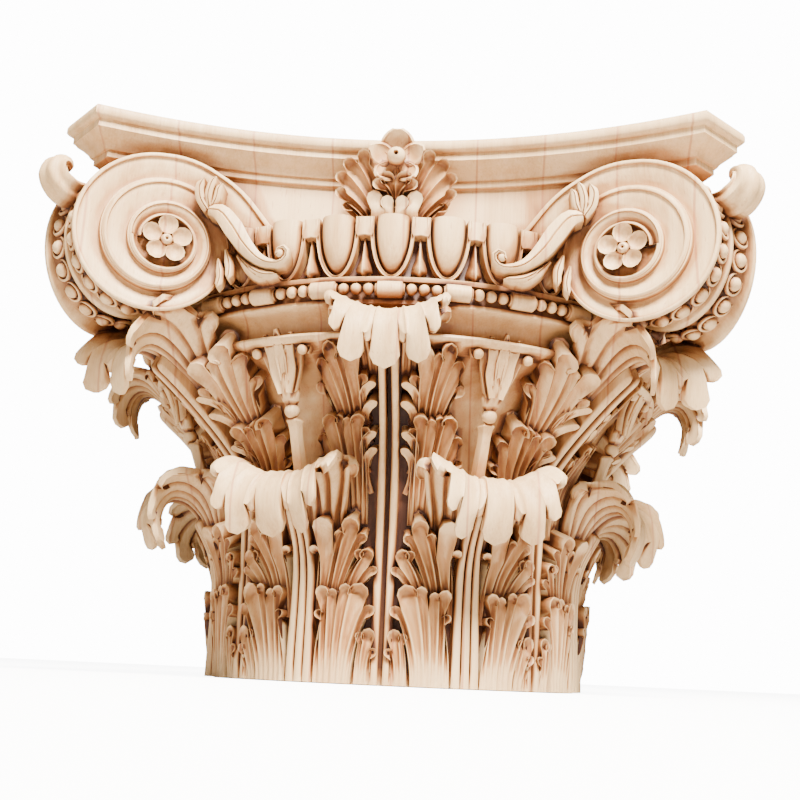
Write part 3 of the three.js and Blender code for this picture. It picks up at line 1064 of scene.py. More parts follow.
@dataclass(frozen=True)
class EggRow:
    """Eggs in their shells, with a flat strap and a dart between each pair."""

    radius: float = 174.0
    pitch: float = math.radians(10)
    bottom: float = 220.4
    top: float = 254.6
    half_width: float = 10.2
    proud: float = 12.0
    shell: float = 1.15
    shell_gap: float = 0.5
    each_way: int = 4

    def swell(self, rise: float) -> float:
        """Share of the full width that an egg has at a share of its height."""
        return max(0.0, 1 - (1 - rise) ** 2.5) ** 0.5

    def out(self, azimuth: float, off: float, reach: float, z: float) -> Vector:
        """Point beside an azimuth, by its distance along the ring."""
        return polar(reach, azimuth + off / (self.radius + 9), z)

    def add_egg(self, form: bmesh.types.BMesh, azimuth: float) -> None:
        """Add half a pointed egg with a flat top.

        Args:
            form: The mesh that it joins.
            azimuth: Where it stands round the axis, in radians.
        """
        rows, columns = 14, 14

        def place(column: int, row: int) -> Vector:
            rise = 1 - math.cos(math.pi / 2 * row / rows)
            size = self.swell(rise)
            angle = math.pi * (column / columns - 0.5)
            off = self.half_width * size * math.sin(angle)
            reach = self.radius - 2 + (self.proud + 2) * size * max(math.cos(angle), 0.0) ** 0.5
            return self.out(azimuth, off, reach, lerp(self.bottom + 1.6, self.top, rise))

        weave(form, columns, rows, place, capped=True)

    def add_shell(self, form: bmesh.types.BMesh, azimuth: float) -> None:
        """Add the raised band that runs round one egg in a U.

        Args:
            form: The mesh that it joins.
            azimuth: Where it stands round the axis, in radians.
        """
        steps = 32
        middle = self.half_width + self.shell_gap + self.shell
        spots = []
        for step in range(steps + 1):
            turn = lerp(-math.pi / 2, math.pi / 2, step / steps)
            rise = 1 - math.cos(turn)
            off = math.copysign(middle * self.swell(rise), turn)
            spots.append((off, lerp(self.bottom - 0.6, self.top, rise), rise))
        sections = []
        for step, (off, z, rise) in enumerate(spots):
            before = spots[max(step - 1, 0)]
            after = spots[min(step + 1, steps)]
            run = max(math.dist(before[:2], after[:2]), 1e-6)
            aside = ((after[1] - before[1]) / run, -(after[0] - before[0]) / run)
            face = self.radius + lerp(5.4, 8.6, rise)
            loop = []
            for share, back in ((-1, 12), (-1, 1.0), (-0.7, 0.1), (-0.2, 0.7), (0.2, 0.7),
                                (0.7, 0.0), (1, 0.8), (1, 12)):
                reach = self.shell * share
                loop.append(
                    self.out(azimuth, off + aside[0] * reach, face - back, z + aside[1] * reach)
                )
            sections.append(loop)
        tube(form, sections)

    def add_strap(self, form: bmesh.types.BMesh, azimuth: float) -> None:
        """Add the flat strap that joins two shells under the ring's top.

        Args:
            form: The mesh that it joins.
            azimuth: Where it stands round the axis, in radians.
        """
        width = (self.radius + 9) * self.pitch / 2 - self.half_width - self.shell_gap
        stations = ((243.0, 0.0, 0.62), (243.4, 0.5, 0.8), (246.0, 0.6, 1.0), (self.top, 0.6, 1.0))
        sections = []
        for z, front, share in stations:
            face = self.radius + 7.2 + front
            loop = [
                self.out(azimuth, -width * share, face - 12, z),
                self.out(azimuth, -width * share, face, z),
                self.out(azimuth, 0, face, z + 0.8 * (share < 0.9)),
                self.out(azimuth, width * share, face, z),
                self.out(azimuth, width * share, face - 12, z),
            ]
            sections.append(loop)
        tube(form, sections)

    def add_dart(self, form: bmesh.types.BMesh, azimuth: float) -> None:
        """Add the keeled dart that widens to a point below the strap.

        Args:
            form: The mesh that it joins.
            azimuth: Where it stands round the axis, in radians.
        """
        stations = ((246.0, 0.5, 4.0), (240.0, 1.1, 5.0), (232.0, 2.4, 6.4), (225.5, 4.4, 8.0),
                    (223.4, 4.6, 8.4), (221.4, 2.2, 8.0), (220.2, 0.3, 7.0))
        sections = []
        for z, width, front in stations:
            face = self.radius + front
            loop = [
                self.out(azimuth, -width, self.radius - 4, z),
                self.out(azimuth, -width, face - 4.6, z),
                self.out(azimuth, -0.35 * min(width, 1), face, z),
                self.out(azimuth, 0.35 * min(width, 1), face, z),
                self.out(azimuth, width, face - 4.6, z),
                self.out(azimuth, width, self.radius - 4, z),
            ]
            sections.append(loop)
        tube(form, sections)

    def shape(self) -> bmesh.types.BMesh:
        """Cut the whole row, side by side.

        Returns:
            The form in millimetres.
        """
        form = bmesh.new()
        for number in range(round(TURN / self.pitch)):
            azimuth = number * self.pitch
            near = (number + self.each_way) % round(TURN / self.pitch / SIDES)
            if near > 2 * self.each_way:
                continue
            self.add_egg(form, azimuth)
            self.add_shell(form, azimuth)
            self.add_strap(form, azimuth + self.pitch / 2)
            self.add_dart(form, azimuth + self.pitch / 2)
        return form


# -------------------------------------------------------------------- volutes


class Side(Enum):
    """The two spiral faces of a corner."""

    FRONT = "front"
    FLANK = "flank"

    def turn(self, point: Vector) -> Vector:
        """Bring a point of the front face to this face."""
        return corner_mirror(point) if self is Side.FLANK else point


@dataclass(frozen=True)
class Volute:
    """One corner drum: two spiral faces and the band between them."""

    eye: tuple[float, float, float] = (126.0, 186.0, 237.0)
    splay: float = math.radians(24)
    steps: int = 64
    first: float = -0.25
    last: float = 2.25

    SPIRAL = (
        (-0.25, 75), (-0.18, 63), (-0.1, 56), (0, 52), (0.25, 47.5), (0.5, 43.5),
        (0.75, 39.5), (1, 36), (1.25, 32.6), (1.5, 29), (1.75, 25.5), (2, 22.5),
        (2.25, 19.5), (2.5, 17.8), (2.75, 16.6), (3.0, 15.8), (3.25, 15.2),
    )
    EDGE_SINK = 0.9
    SECTION = (
        (0.0, 0.9), (0.012, 0.3), (0.04, 0.0), (0.11, 0.0), (0.13, 0.25), (0.14, 1.5),
        (0.165, 1.9), (0.28, 2.2), (0.42, 3.0), (0.56, 4.2), (0.7, 5.3), (0.8, 5.9),
        (0.87, 5.9), (0.89, 5.2), (0.9, 2.6), (0.915, 2.3), (0.95, 2.3), (0.96, 2.0),
        (0.97, 1.1), (1.0, 0.9),
    )

    def on_face(self, out: float, up: float, lift: float) -> Vector:
        """Point of the front spiral face.

        Args:
            out: Distance from the eye toward the corner.
            up: Distance above the eye.
            lift: Distance in front of the eye's plane.

        Returns:
            The point on the corner between the front and +X.
        """
        c, s = math.cos(self.splay), math.sin(self.splay)
        x, y, z = self.eye
        return Vector((x + out * c - lift * s, -(y + out * s + lift * c), z + up))

    def fillet_lift(self, turns: float) -> float:
        """Height of the spiral fillet over the drum's outer rim."""
        return clamp(turns, 0, 2) * 2.6

    def face_point(self, turns: float, across: float, sink: float) -> Vector:
        """Point of the spiral channel.

        Args:
            turns: Turns of the spiral from its top.
            across: Share from the outer fillet to the next one in.
            sink: Depth below the fillets.

        Returns:
            The point on the front face.
        """
        radius = lerp(
            look_up(self.SPIRAL, turns), look_up(self.SPIRAL, turns + 1), across
        )
        settle = 1 - clamp(turns + across, 0, 2.5) / 2.5
        angle = turns * TURN
        lift = -7 - sink + lerp(
            self.fillet_lift(turns), self.fillet_lift(turns + 1), across
        )
        return self.on_face(
            radius * math.sin(angle) + 4 * settle,
            radius * math.cos(angle) + 3 * settle,
            lift,
        )

    def add_face(self, form: bmesh.types.BMesh, side: Side) -> None:
        """Add the spiral channel and the dish round the eye.

        Args:
            form: The mesh that it joins.
            side: The face that it is cut on.
        """
        rows = round((self.last - self.first) * self.steps)

        def channel(column: int, row: int) -> Vector:
            turns = self.first + row / self.steps
            across, sink = self.SECTION[column]
            depth = lerp(1.0, 0.55, clamp(turns / 2))
            sunk = self.EDGE_SINK + (sink - self.EDGE_SINK) * depth
            return side.turn(self.face_point(turns, across, sunk))

        weave(form, len(self.SECTION) - 1, rows, channel)
        rings = ((1.0, 0.0), (0.97, 0.6), (0.93, 0.6), (0.9, 0.0), (0.88, -1.4), (0.8, -2.8),
                 (0.6, -3.4), (0.3, -3.0), (0.001, -3.0))

        def dish(column: int, row: int) -> Vector:
            share, lift = rings[row]
            rim = self.face_point(self.last + column / self.steps, 0.0, self.EDGE_SINK)
            middle = self.on_face(0, 0, 0)
            outward = self.on_face(0, 0, 1) - middle
            flat = middle + outward * outward.dot(rim - middle)
            return side.turn(flat + (rim - flat) * share + outward * lift)

        weave(form, self.steps, len(rings) - 1, dish)

    def add_petal(self, form: bmesh.types.BMesh, side: Side, heading: float) -> None:
        """Add one cupped petal of the rosette.

        Args:
            form: The mesh that it joins.
            side: The face that it is cut on.
            heading: Direction that the petal points in, in radians.
        """
        rows, columns = 10, 12
        c, s = math.cos(heading), math.sin(heading)

        def place(column: int, row: int) -> Vector:
            angle = TURN * column / columns
            ring = row / rows
            if ring <= 0.6:
                reach, under = ring / 0.6, 0.0
            else:
                reach, under = (1 - ring) / 0.4, 1.0
            along = 8.6 + 5.6 * reach * math.cos(angle)
            off = (5.0 + 0.06 * along) * reach * math.sin(angle)
            cup = 2.8 * reach**2.6 + 0.14 * (along - 4.0)
            lift = -3.6 + cup - under * lerp(3.4, 1.0, reach)
            return side.turn(self.on_face(along * s + off * c, along * c - off * s, lift))

        weave(form, columns, rows, place)

    def add_rosette(self, form: bmesh.types.BMesh, side: Side) -> None:
        """Add the five petals and the drilled ball in the eye.

        Args:
            form: The mesh that it joins.
            side: The face that it is cut on.
        """
        for petal in range(5):
            self.add_petal(form, side, TURN * petal / 5)
        rows, columns = 12, 16
        hub = 3.7

        def place(column: int, row: int) -> Vector:
            angle = TURN * column / columns
            share = row / rows
            if share < 0.2:
                reach, lift = 1.1 * share / 0.2, lerp(1.2, 3.4, share / 0.2)
            else:
                swing = lerp(0.3, 2.6, (share - 0.2) / 0.8)
                reach, lift = hub * math.sin(swing), hub * math.cos(swing)
            return side.turn(
                self.on_face(reach * math.sin(angle), reach * math.cos(angle), lift - 2.6)
            )

        weave(form, columns, rows, place, capped=True)

    def band_point(self, turns: float, share: float, lift: float) -> Vector:
        """Point of the band between the faces.

        Args:
            turns: Turns of the spiral from its top.
            share: Share of the way from the front face to the flank.
            lift: Distance out from the band's straight ground.

        Returns:
            The point on the corner between the front and +X.
        """
        near = self.face_point(turns, 0.0, self.EDGE_SINK)
        far = corner_mirror(near)
        hub = self.on_face(4, 3, -7)
        middle = near.lerp(far, share)
        inward = (hub.lerp(corner_mirror(hub), share) - middle).normalized()
        return middle - inward * lift

    BAND = (
        (0.0, 0.0), (0.03, -0.2), (0.06, -1.6), (0.09, -4.4), (0.16, -6.6), (0.26, -7.6),
        (0.36, -7.2), (0.44, -6.2), (0.455, -4.6), (0.47, -3.9), (0.5, -3.7),
    )

    def add_band(self, form: bmesh.types.BMesh) -> None:
        """Add the hollow band with its middle rib.

        Args:
            form: The mesh that it joins.
        """
        half = list(self.BAND)
        places = half + [(1 - share, lift) for share, lift in reversed(half[:-1])]

        def place(column: int, row: int) -> Vector:
            share, lift = places[column]
            return self.band_point(self.first + row / self.steps, share, lift)

        weave(form, len(places) - 1, self.steps, place)

    def add_coin(self, form: bmesh.types.BMesh, turns: float, share: float) -> None:
        """Add a ball in a half-open rim beside the band's rib.

        Args:
            form: The mesh that it joins.
            turns: Turns along the spiral.
            share: Place across the band, from 0 to 1.
        """
        centre = self.band_point(turns, share, -5.4)
        out = (self.band_point(turns, share, 1.0) - self.band_point(turns, share, 0.0))
        along = self.band_point(turns + 0.01, share, 0) - self.band_point(turns - 0.01, share, 0)
        out.normalize()
        along = (along - out * along.dot(out)).normalized()
        across = out.cross(along)
        ball(form, centre, 4.4, 14)
        opening = 1 if share < 0.5 else -1
        sections = []
        for step in range(17):
            swing = lerp(-0.45, 1.1, step / 16) * math.pi
            rim = along * math.sin(swing) * 6.0 + across * math.cos(swing) * opening * 5.6
            size = 1.2 * math.sin(math.pi * clamp(step / 16, 0.06, 0.94)) ** 0.5
            loop = []
            for k in range(6):
                spin = TURN * k / 6
                loop.append(
                    centre
                    + rim * (1 + size / 6 * math.cos(spin))
                    + out * (size * 1.3 * math.sin(spin) + 0.6)
                )
            sections.append(loop)
        tube(form, sections)

    def shape(self) -> bmesh.types.BMesh:
        """Cut the whole corner.

        Returns:
            The form in millimetres.
        """
        form = bmesh.new()
        for side in Side:
            self.add_face(form, side)
        self.add_band(form)
        bmesh.ops.remove_doubles(form, verts=form.verts, dist=MERGE)
        rim = [edge for edge in form.edges if edge.is_boundary]
        bmesh.ops.holes_fill(form, edges=rim)
        for side in Side:
            self.add_rosette(form, side)
        for share in (0.27, 0.73):
            for number in range(9):
                self.add_coin(form, 0.13 + number * 0.046 * (1 + 0.012 * number), share)
        return form


@dataclass(frozen=True)
class Ear:
    """The curled shell that stands up from each corner drum."""

    line: tuple[tuple[float, float], ...] = (
        (236, 266), (247, 267), (256, 265.5), (264, 265.5), (270, 269.5), (271.4, 275.4),
        (267.6, 279.2), (263.4, 277.6),
    )

    def shape(self) -> bmesh.types.BMesh:
        """Cut the shell on the diagonal.

        Returns:
            The form in millimetres.
        """
        route = Route(self.line)
        form = bmesh.new()
        rows, around = 44, 40
        diagonal = math.pi / 4
        sections = []
        for row in range(rows + 1):
            share = row / rows
            along = share * route.length
            radius, z = route.at(along)
            way = route.heading(along)
            wide = look_up(((0, 9), (0.3, 11), (0.6, 13), (0.8, 11), (0.95, 6), (1, 3)), share)
            outer = look_up(((0, 5), (0.3, 6.4), (0.55, 9.6), (0.75, 8.6), (0.9, 5.4), (1, 2.6)), share)
            inner = look_up(((0, 4), (0.3, 4.4), (0.6, 4.6), (0.8, 3.6), (1, 2.0)), share)
            loop = []
            for k in range(around):
                angle = TURN * k / around
                flute = 1 + 0.10 * math.cos(7 * angle) * ease(share / 0.3)
                side = wide * math.cos(angle) * flute
                depth = outer if math.sin(angle) < 0 else inner
                out = depth * math.sin(angle) * flute
                base = polar(radius - way[1] * out, diagonal, z + way[0] * out)
                loop.append(base + polar(side, diagonal + math.pi / 2, 0))
            sections.append(loop)
        tube(form, sections)
        return form


@dataclass(frozen=True)
class Husk:
    """The half palmette between a volute and the eggs, with its bud and scroll."""

    groove: float = 1.1

    def place(self, x: float, z: float, out: float) -> Vector:
        """Point of the slanting bed between the spiral and the eggs."""
        bed = look_up(((55, 184.5), (64, 182), (74, 176), (86, 172.5), (104, 175)), x)
        return Vector((x, -(bed + out), z))

    def add_leaf(
        self,
        form: bmesh.types.BMesh,
        route: Route,
        widths: Stations,
        crown: float,
    ) -> None:
        """Add one long leaf on the bed.

        Args:
            form: The mesh that grows.
            route: (x, z, out) places of its middle line.
            widths: Half width by share of its length.
            crown: How much its middle stands over its edges.
        """
        rows = 24
        sections = []
        for row in range(rows + 1):
            along = route.length * row / rows
            x, z, out = route.at(along)
            way = route.heading(along)
            run = max(math.hypot(way[0], way[1]), 1e-6)
            aside = (way[1] / run, -way[0] / run)
            width = look_up(widths, row / rows)
            loop = []
            for place in (-1, -0.85, -0.5, -0.16, 0, 0.16, 0.5, 0.85, 1):
                lift = out + crown * (1 - place * place) - (self.groove if place == 0 else 0)
                loop.append(self.place(x + aside[0] * place * width, z + aside[1] * place * width, lift))
            for place in (0.9, -0.9):
                loop.append(self.place(x + aside[0] * place * width, z + aside[1] * place * width, -6))
            sections.append(loop)
        tube(form, sections)

    def shape(self) -> bmesh.types.BMesh:
        """Cut the palmettes at both ends of the front.

        Returns:
            The form in millimetres.
        """
        form = bmesh.new()
        body = Route([(105, 257, 6.0), (98, 255, 8.6), (91, 247, 9.0), (84, 237, 8.4),
                      (76, 228.5, 7.0), (68, 223.6, 6.4), (60.5, 222.4, 7.0), (56.4, 226.4, 8.0),
                      (58.4, 230.4, 8.6), (62.0, 229.4, 8.8), (62.4, 226.6, 8.8)])
        self.add_leaf(
            form,
            body,
            ((0, 3.0), (0.1, 5.0), (0.25, 5.8), (0.4, 4.8), (0.55, 3.4), (0.7, 2.4), (0.85, 2.0),
             (1, 1.2)),
            1.8,
        )
        ball(form, self.place(60.4, 227.2, 8.0), 2.6, 14)
        under = (
            (((88, 232, 1.5), (82, 225, 3), (76, 219, 3.6), (69, 215.6, 3.0)), 2.6),
            (((84, 228, 2), (77, 221.6, 4), (70, 218, 4.4), (62, 216.4, 3.6)), 2.6),
            (((95, 236, 0), (92, 226, 1.6), (92, 217, 2.0)), 2.8),
            (((99, 230, -1), (97, 220, 0.6), (98, 212, 1.0)), 2.4),
        )
        for points, width in under:
            self.add_leaf(
                form, Route(points), ((0, 1.0), (0.4, width), (0.85, width * 0.8), (1, 0.3)), 1.6
            )
        bud = (
            (((106, 257, 5), (110, 263, 7.4), (111, 270, 8.6), (108.6, 275.6, 8.4)), 2.8),
            (((105, 258, 5), (106, 265, 7.6), (104.6, 272, 8.4), (102.4, 277.0, 7.6)), 2.4),
            (((104, 258, 5), (101.4, 264, 7.0), (100.4, 270, 7.4), (98.6, 273.4, 6.4)), 2.2),
        )
        for points, width in bud:
            self.add_leaf(
                form, Route(points), ((0, 2.4), (0.4, width), (0.8, width * 0.9), (1, 0.3)), 1.2
            )
        mirror = form.copy()
        bmesh.ops.scale(mirror, vec=(-1, 1, 1), verts=mirror.verts)
        spare = bpy.data.meshes.new("spare")
        mirror.to_mesh(spare)
        mirror.free()
        form.from_mesh(spare)
        bpy.data.meshes.remove(spare)
        return form


# ------------------------------------------------------- stalks and fleurons


@dataclass(frozen=True)
class Stalk:
    """The caulicolus: a fluted shaft, a ball and a split tulip with scrolls."""

    azimuth: float = math.pi / 8

    def blade(
        self,
        form: bmesh.types.BMesh,
        route: Route,
        widths: Stations,
        thick: float,
        hollow: float,
    ) -> None:
        """Add a narrow curved leaf that follows a route.

        Args:
            form: The mesh that grows.
            route: (across, radius, z) places of its middle line.
            widths: Half width by share of its length.
            thick: Its thickness.
            hollow: How deep its face is dished.
        """
        rows = 18
        places = (-1, -0.8, -0.4, 0, 0.4, 0.8, 1)
        sections = []
        for row in range(rows + 1):
            along = route.length * row / rows
            across, radius, z = route.at(along)
            way = route.heading(along)
            side = np.array([way[2], 0.0, -way[0]])
            side /= max(np.linalg.norm(side), 1e-6)
            face = np.cross(side, way)
            if face[1] < 0:
                face = -face
            width = look_up(widths, row / rows)
            loop = []
            for place in places:
                out = -hollow * (1 - place * place)
                spot = np.array([across, radius, z]) + side * place * width + face * out
                loop.append(spot)
            for place in (0.8, 0, -0.8):
                out = -hollow * (1 - place * place) - thick
                spot = np.array([across, radius, z]) + side * place * width + face * out
                loop.append(spot)
            sections.append(
                [polar(r, self.azimuth + s / r, height) for s, r, height in loop]
            )
        tube(form, sections)

    def shape(self) -> bmesh.types.BMesh:
        """Cut one stalk at its azimuth.

        Returns:
            The form in millimetres.
        """
        form = bmesh.new()
        shaft = [(90, 126, 4.8), (120, 135, 4.4), (140, 142.5, 4.1), (144.4, 144, 4.6),
                 (145.8, 144.6, 5.4), (147.4, 145.2, 4.6)]
        sections = []
        for z, radius, size in shaft:
            loop = []
            for k in range(20):
                angle = TURN * k / 20
                reach = size * (1 - 0.16 * abs(math.cos(2.5 * angle)))
                off = reach * math.sin(angle)
                loop.append(
                    polar(radius + reach * math.cos(angle), self.azimuth + off / radius, z)
                )
            sections.append(loop)
        tube(form, sections)
        ball(form, polar(148.5, self.azimuth, 151.8), 4.6, 18)
        cup = [(154.6, 149.6, 3.2), (157, 150.6, 5.2), (161, 152, 6.4), (166, 154, 6.6),
               (171, 156, 6.0)]
        sections = []
        for z, radius, size in cup:
            sections.append(
                [
                    polar(
                        radius + 0.8 * size * math.cos(TURN * k / 20),
                        self.azimuth + size * math.sin(TURN * k / 20) / radius,
                        z,
                    )
                    for k in range(20)
                ]
            )
        tube(form, sections)
        for side in (-1, 1):
            self.blade(
                form,
                Route([(side * 2.4, 158, 160), (side * 4.6, 161.5, 171), (side * 5.4, 166, 181),
                       (side * 8.4, 171.5, 191.5)]),
                ((0, 1.8), (0.4, 3.6), (0.8, 3.0), (1, 0.5)),
                3.4,
                1.2,
            )
            self.blade(
                form,
                Route([(side * 4, 156.5, 161), (side * 7.4, 160, 173), (side * 10.4, 164.5, 182),
                       (side * 14.4, 167, 187.4), (side * 18.4, 166.8, 184.6),
                       (side * 16.6, 166.4, 180.6)]),
                ((0, 1.8), (0.4, 3.0), (0.7, 2.6), (1, 1.4)),
                4.0,
                0.8,
            )
            ball(form, polar(167.0, self.azimuth + side * 15.2 / 167.0, 182.4), 3.1, 14)
        self.blade(
            form,
            Route([(0, 158, 163), (0, 162.5, 173), (0, 168, 184), (0, 173.5, 193.4)]),
            ((0, 1.8), (0.5, 3.4), (0.8, 2.6), (1, 0.4)),
            3.4,
            1.0,
        )
        return form


@dataclass(frozen=True)
class Fleuron:
    """The flower in the middle of each abacus side, on its fan of leaves."""

    flower_z: float = 292.0
    flower_out: float = 176.0

    def shape(self) -> bmesh.types.BMesh:
        """Cut the flower and its leaves at the front.

        Returns:
            The form in millimetres.
        """
        form = bmesh.new()
        sheet = LeafSheet(
            line=((165, 246), (167.5, 262), (170, 276), (173, 290), (177.5, 303)),
            sag=((0, 0), (60, 0)),
            ground=-12.0,
        )
        carver = LeafCarver(sheet, form)
        fan = Frond((10, 1), 5.5, (
            Tip(18.5, 54, 3.6, 8, 2.6, 2.8, 1.4),
            Tip(27.6, 49, 3.7, 26, 2.6, 3.0, 1.4),
            Tip(33.0, 40, 3.5, 46, 6.0, 2.8, 1.2),
            Tip(33.4, 30, 3.1, 60, 2.4, 2.4, 0.8),
            Tip(29.6, 21, 2.7, 72, 2.0, 1.8),
        ), (3.0, 7.0), -1.8)
        skirt = Frond((0, 1), 13.0, (
            Tip(-11.6, 28, 4.2, -8, 6.0, 1.6),
            Tip(-4.0, 25, 3.6, 0, 11.0, 1.2),
            Tip(4.0, 25, 3.6, 0, 6.0, 1.2),
            Tip(11.6, 28, 4.2, 8, 2.0, 1.6),
        ), (7.0, 10.5), 1.2)
        calyx = Frond((0, 24), 3.0, (
            Tip(-12.0, 33, 3.4, -66, 2.4, 2.0, 2.0),
            Tip(-6.4, 39, 4.0, -24, 3.0, 2.2, 1.4),
            Tip(6.4, 39, 4.0, 24, 2.4, 2.2, 1.4),
            Tip(12.0, 33, 3.4, 66, 2.0, 2.0, 2.0),
        ), (5.0, 9.5), -1.6)
        for half in Half:
            carver.unfold(fan, half)
        carver.unfold(skirt, Half.RIGHT)
        carver.unfold(calyx, Half.RIGHT)
        self.petals(form)
        self.add_eye(form)
        return form

    def add_eye(self, form: bmesh.types.BMesh) -> None:
        """Add the drilled ball in the middle of the flower.

        Args:
            form: The mesh that it joins.
        """
        rows, columns, size = 12, 18, 5.4

        def place(column: int, row: int) -> Vector:
            angle = TURN * column / columns
            if row < 3:
                reach, out = 1.5 * (row + 0.01) / 3, lerp(1.6, 5.0, row / 3)
            else:
                swing = lerp(0.3, 2.7, (row - 3) / (rows - 3))
                reach, out = size * math.sin(swing), size * math.cos(swing)
            middle = self.flower_out + 5.0
            return Vector(
                (reach * math.sin(angle), -(middle + out), self.flower_z + reach * math.cos(angle))
            )

        weave(form, columns, rows, place, capped=True)

    def petals(self, form: bmesh.types.BMesh) -> None:
        """Add the five petals of the open flower.

        Args:
            form: The mesh that it joins.
        """
        for petal in range(5):
            heading = TURN * petal / 5
            width = 8.6 if petal == 0 else 7.4
            rows, columns = 9, 10

            def place(column: int, row: int) -> Vector:
                angle = math.pi * (column / columns - 0.5)
                reach = row / rows
                swell = math.sin(math.pi * min(1.0, reach * 0.92 + 0.05)) ** 0.55
                along = lerp(2.0, 17.0, reach)
                off = width * swell * math.sin(angle)
                cup = math.cos(angle) * math.sin(math.pi * reach)
                out = self.flower_out + 5.0 * reach**1.6 - 3.0 * cup
                c, s = math.cos(heading), math.sin(heading)
                return Vector(
                    (along * s + off * c, -out, self.flower_z + along * c - off * s)
                )

            made = bmesh.new()
            weave(made, columns, rows, place)
            bmesh.ops.recalc_face_normals(made, faces=made.faces)
            bmesh.ops.solidify(made, geom=made.faces, thickness=1.6)
            spare = bpy.data.meshes.new("petal")
            made.to_mesh(spare)
            made.free()
            form.from_mesh(spare)
            bpy.data.meshes.remove(spare)


# ------------------------------------------------------------------ materials

Colour = tuple[float, float, float]
Socket = bpy.types.NodeSocket


@dataclass(frozen=True)
class Desk:
    """Places and joins the nodes of one tree."""

    tree: bpy.types.NodeTree

    def add(self, kind: str, **settings: object) -> bpy.types.Node:
        """Place a node and set its plain properties.

        Args:
            kind: The node's type.
            settings: Its plain properties.

        Returns:
            The node.
        """
        node = self.tree.nodes.new(kind)
        for name, value in settings.items():
            setattr(node, name, value)
        return node

    def feed(self, target: Socket, source: Socket | float | tuple[float, ...]) -> None:
        """Join a socket to another one, or set its value.

        Args:
            target: The socket that takes the value.
            source: The socket or the value that it takes.
        """
        if isinstance(source, bpy.types.NodeSocket):
            self.tree.links.new(source, target)
        else:
            target.default_value = source

    def sum(self, operation: str, first: Socket | float, second: Socket | float = 0.0) -> Socket:
        """Result of one sum on two numbers.

        Args:
            operation: The name of the sum.
            first: The first number.
            second: The second number.

        Returns:
            The socket with the result.
        """
        node = self.add("ShaderNodeMath", operation=operation)
        self.feed(node.inputs[0], first)
        self.feed(node.inputs[1], second)
        return node.outputs[0]

    def ranged(self, value: Socket, low: float, high: float, first: float = 0.0,
               last: float = 1.0) -> Socket:
        """Map a number from one range to another, held at both ends.

        Args:
            value: The number.
            low: Start of its range.
            high: End of its range.
            first: Start of the new range.
            last: End of the new range.

        Returns:
            The socket with the result.
        """
        node = self.add("ShaderNodeMapRange")
        self.feed(node.inputs["Value"], value)
        for name, number in (("From Min", low), ("From Max", high), ("To Min", first),
                             ("To Max", last)):
            node.inputs[name].default_value = number
        return node.outputs["Result"]

    def blend(
        self,
        factor: Socket | float,
        first: Socket | Colour,
        second: Socket | Colour,
        way: str = "MIX",
    ) -> Socket:
        """Mix two colours.

        Args:
            factor: The second colour's share.
            first: The first colour.
            second: The second colour.
            way: How the two are mixed.

        Returns:
            The socket with the result.
        """
        node = self.add("ShaderNodeMix", data_type="RGBA", blend_type=way)
        self.feed(node.inputs["Factor"], factor)
        for name, colour in (("A", first), ("B", second)):
            value = colour if isinstance(colour, bpy.types.NodeSocket) else (*colour, 1.0)
            self.feed(node.inputs[name], value)
        return node.outputs["Result"]

    def ramp(
        self,
        value: Socket,
        stops: Sequence[tuple[float, Colour]],
        stepped: bool = False,
    ) -> Socket:
        """Colour read from a ramp.

        Args:
            value: Where the ramp is read.
            stops: Each stop with its colour.
            stepped: Whether the colours change in steps.

        Returns:
            The socket with the result.
        """
        node = self.add("ShaderNodeValToRGB")
        node.color_ramp.interpolation = "CONSTANT" if stepped else "EASE"
        elements = node.color_ramp.elements
        while len(elements) < len(stops):
            elements.new(0.5)
        for element, (place, colour) in zip(elements, stops):
            element.position = place
            element.color = (*colour, 1.0)
        self.feed(node.inputs["Fac"], value)
        return node.outputs["Color"]

    def noise(self, vector: Socket, scale: Sequence[float], detail: float = 3.0) -> Socket:
        """Noise with a scale of its own along each axis, in cells a metre.

        Args:
            vector: The place.
            scale: Cells a metre along each axis.
            detail: How many finer layers it has.

        Returns:
            The socket with the result.
        """
        mapping = self.add("ShaderNodeMapping")
        mapping.inputs["Scale"].default_value = scale
        self.feed(mapping.inputs["Vector"], vector)
        node = self.add("ShaderNodeTexNoise")
        node.inputs["Scale"].default_value = 1.0
        node.inputs["Detail"].default_value = detail
        self.feed(node.inputs["Vector"], mapping.outputs["Vector"])
        return node.outputs["Fac"]


def new_group(name: str, given: Sequence[str], gives: Sequence[str]) -> bpy.types.NodeTree:
    """Start a shader node group.

    Args:
        name: The group's name.
        given: Names of its inputs, of which Vector is a vector.
        gives: Names of its outputs, all of them numbers.

    Returns:
        The empty group with its sockets.
    """
    group = bpy.data.node_groups.new(name, "ShaderNodeTree")
    for title in given:
        kind = "NodeSocketVector" if title == "Vector" else "NodeSocketFloat"
        group.interface.new_socket(name=title, in_out="INPUT", socket_type=kind)
    for title in gives:
        group.interface.new_socket(name=title, in_out="OUTPUT", socket_type="NodeSocketFloat")
    return group


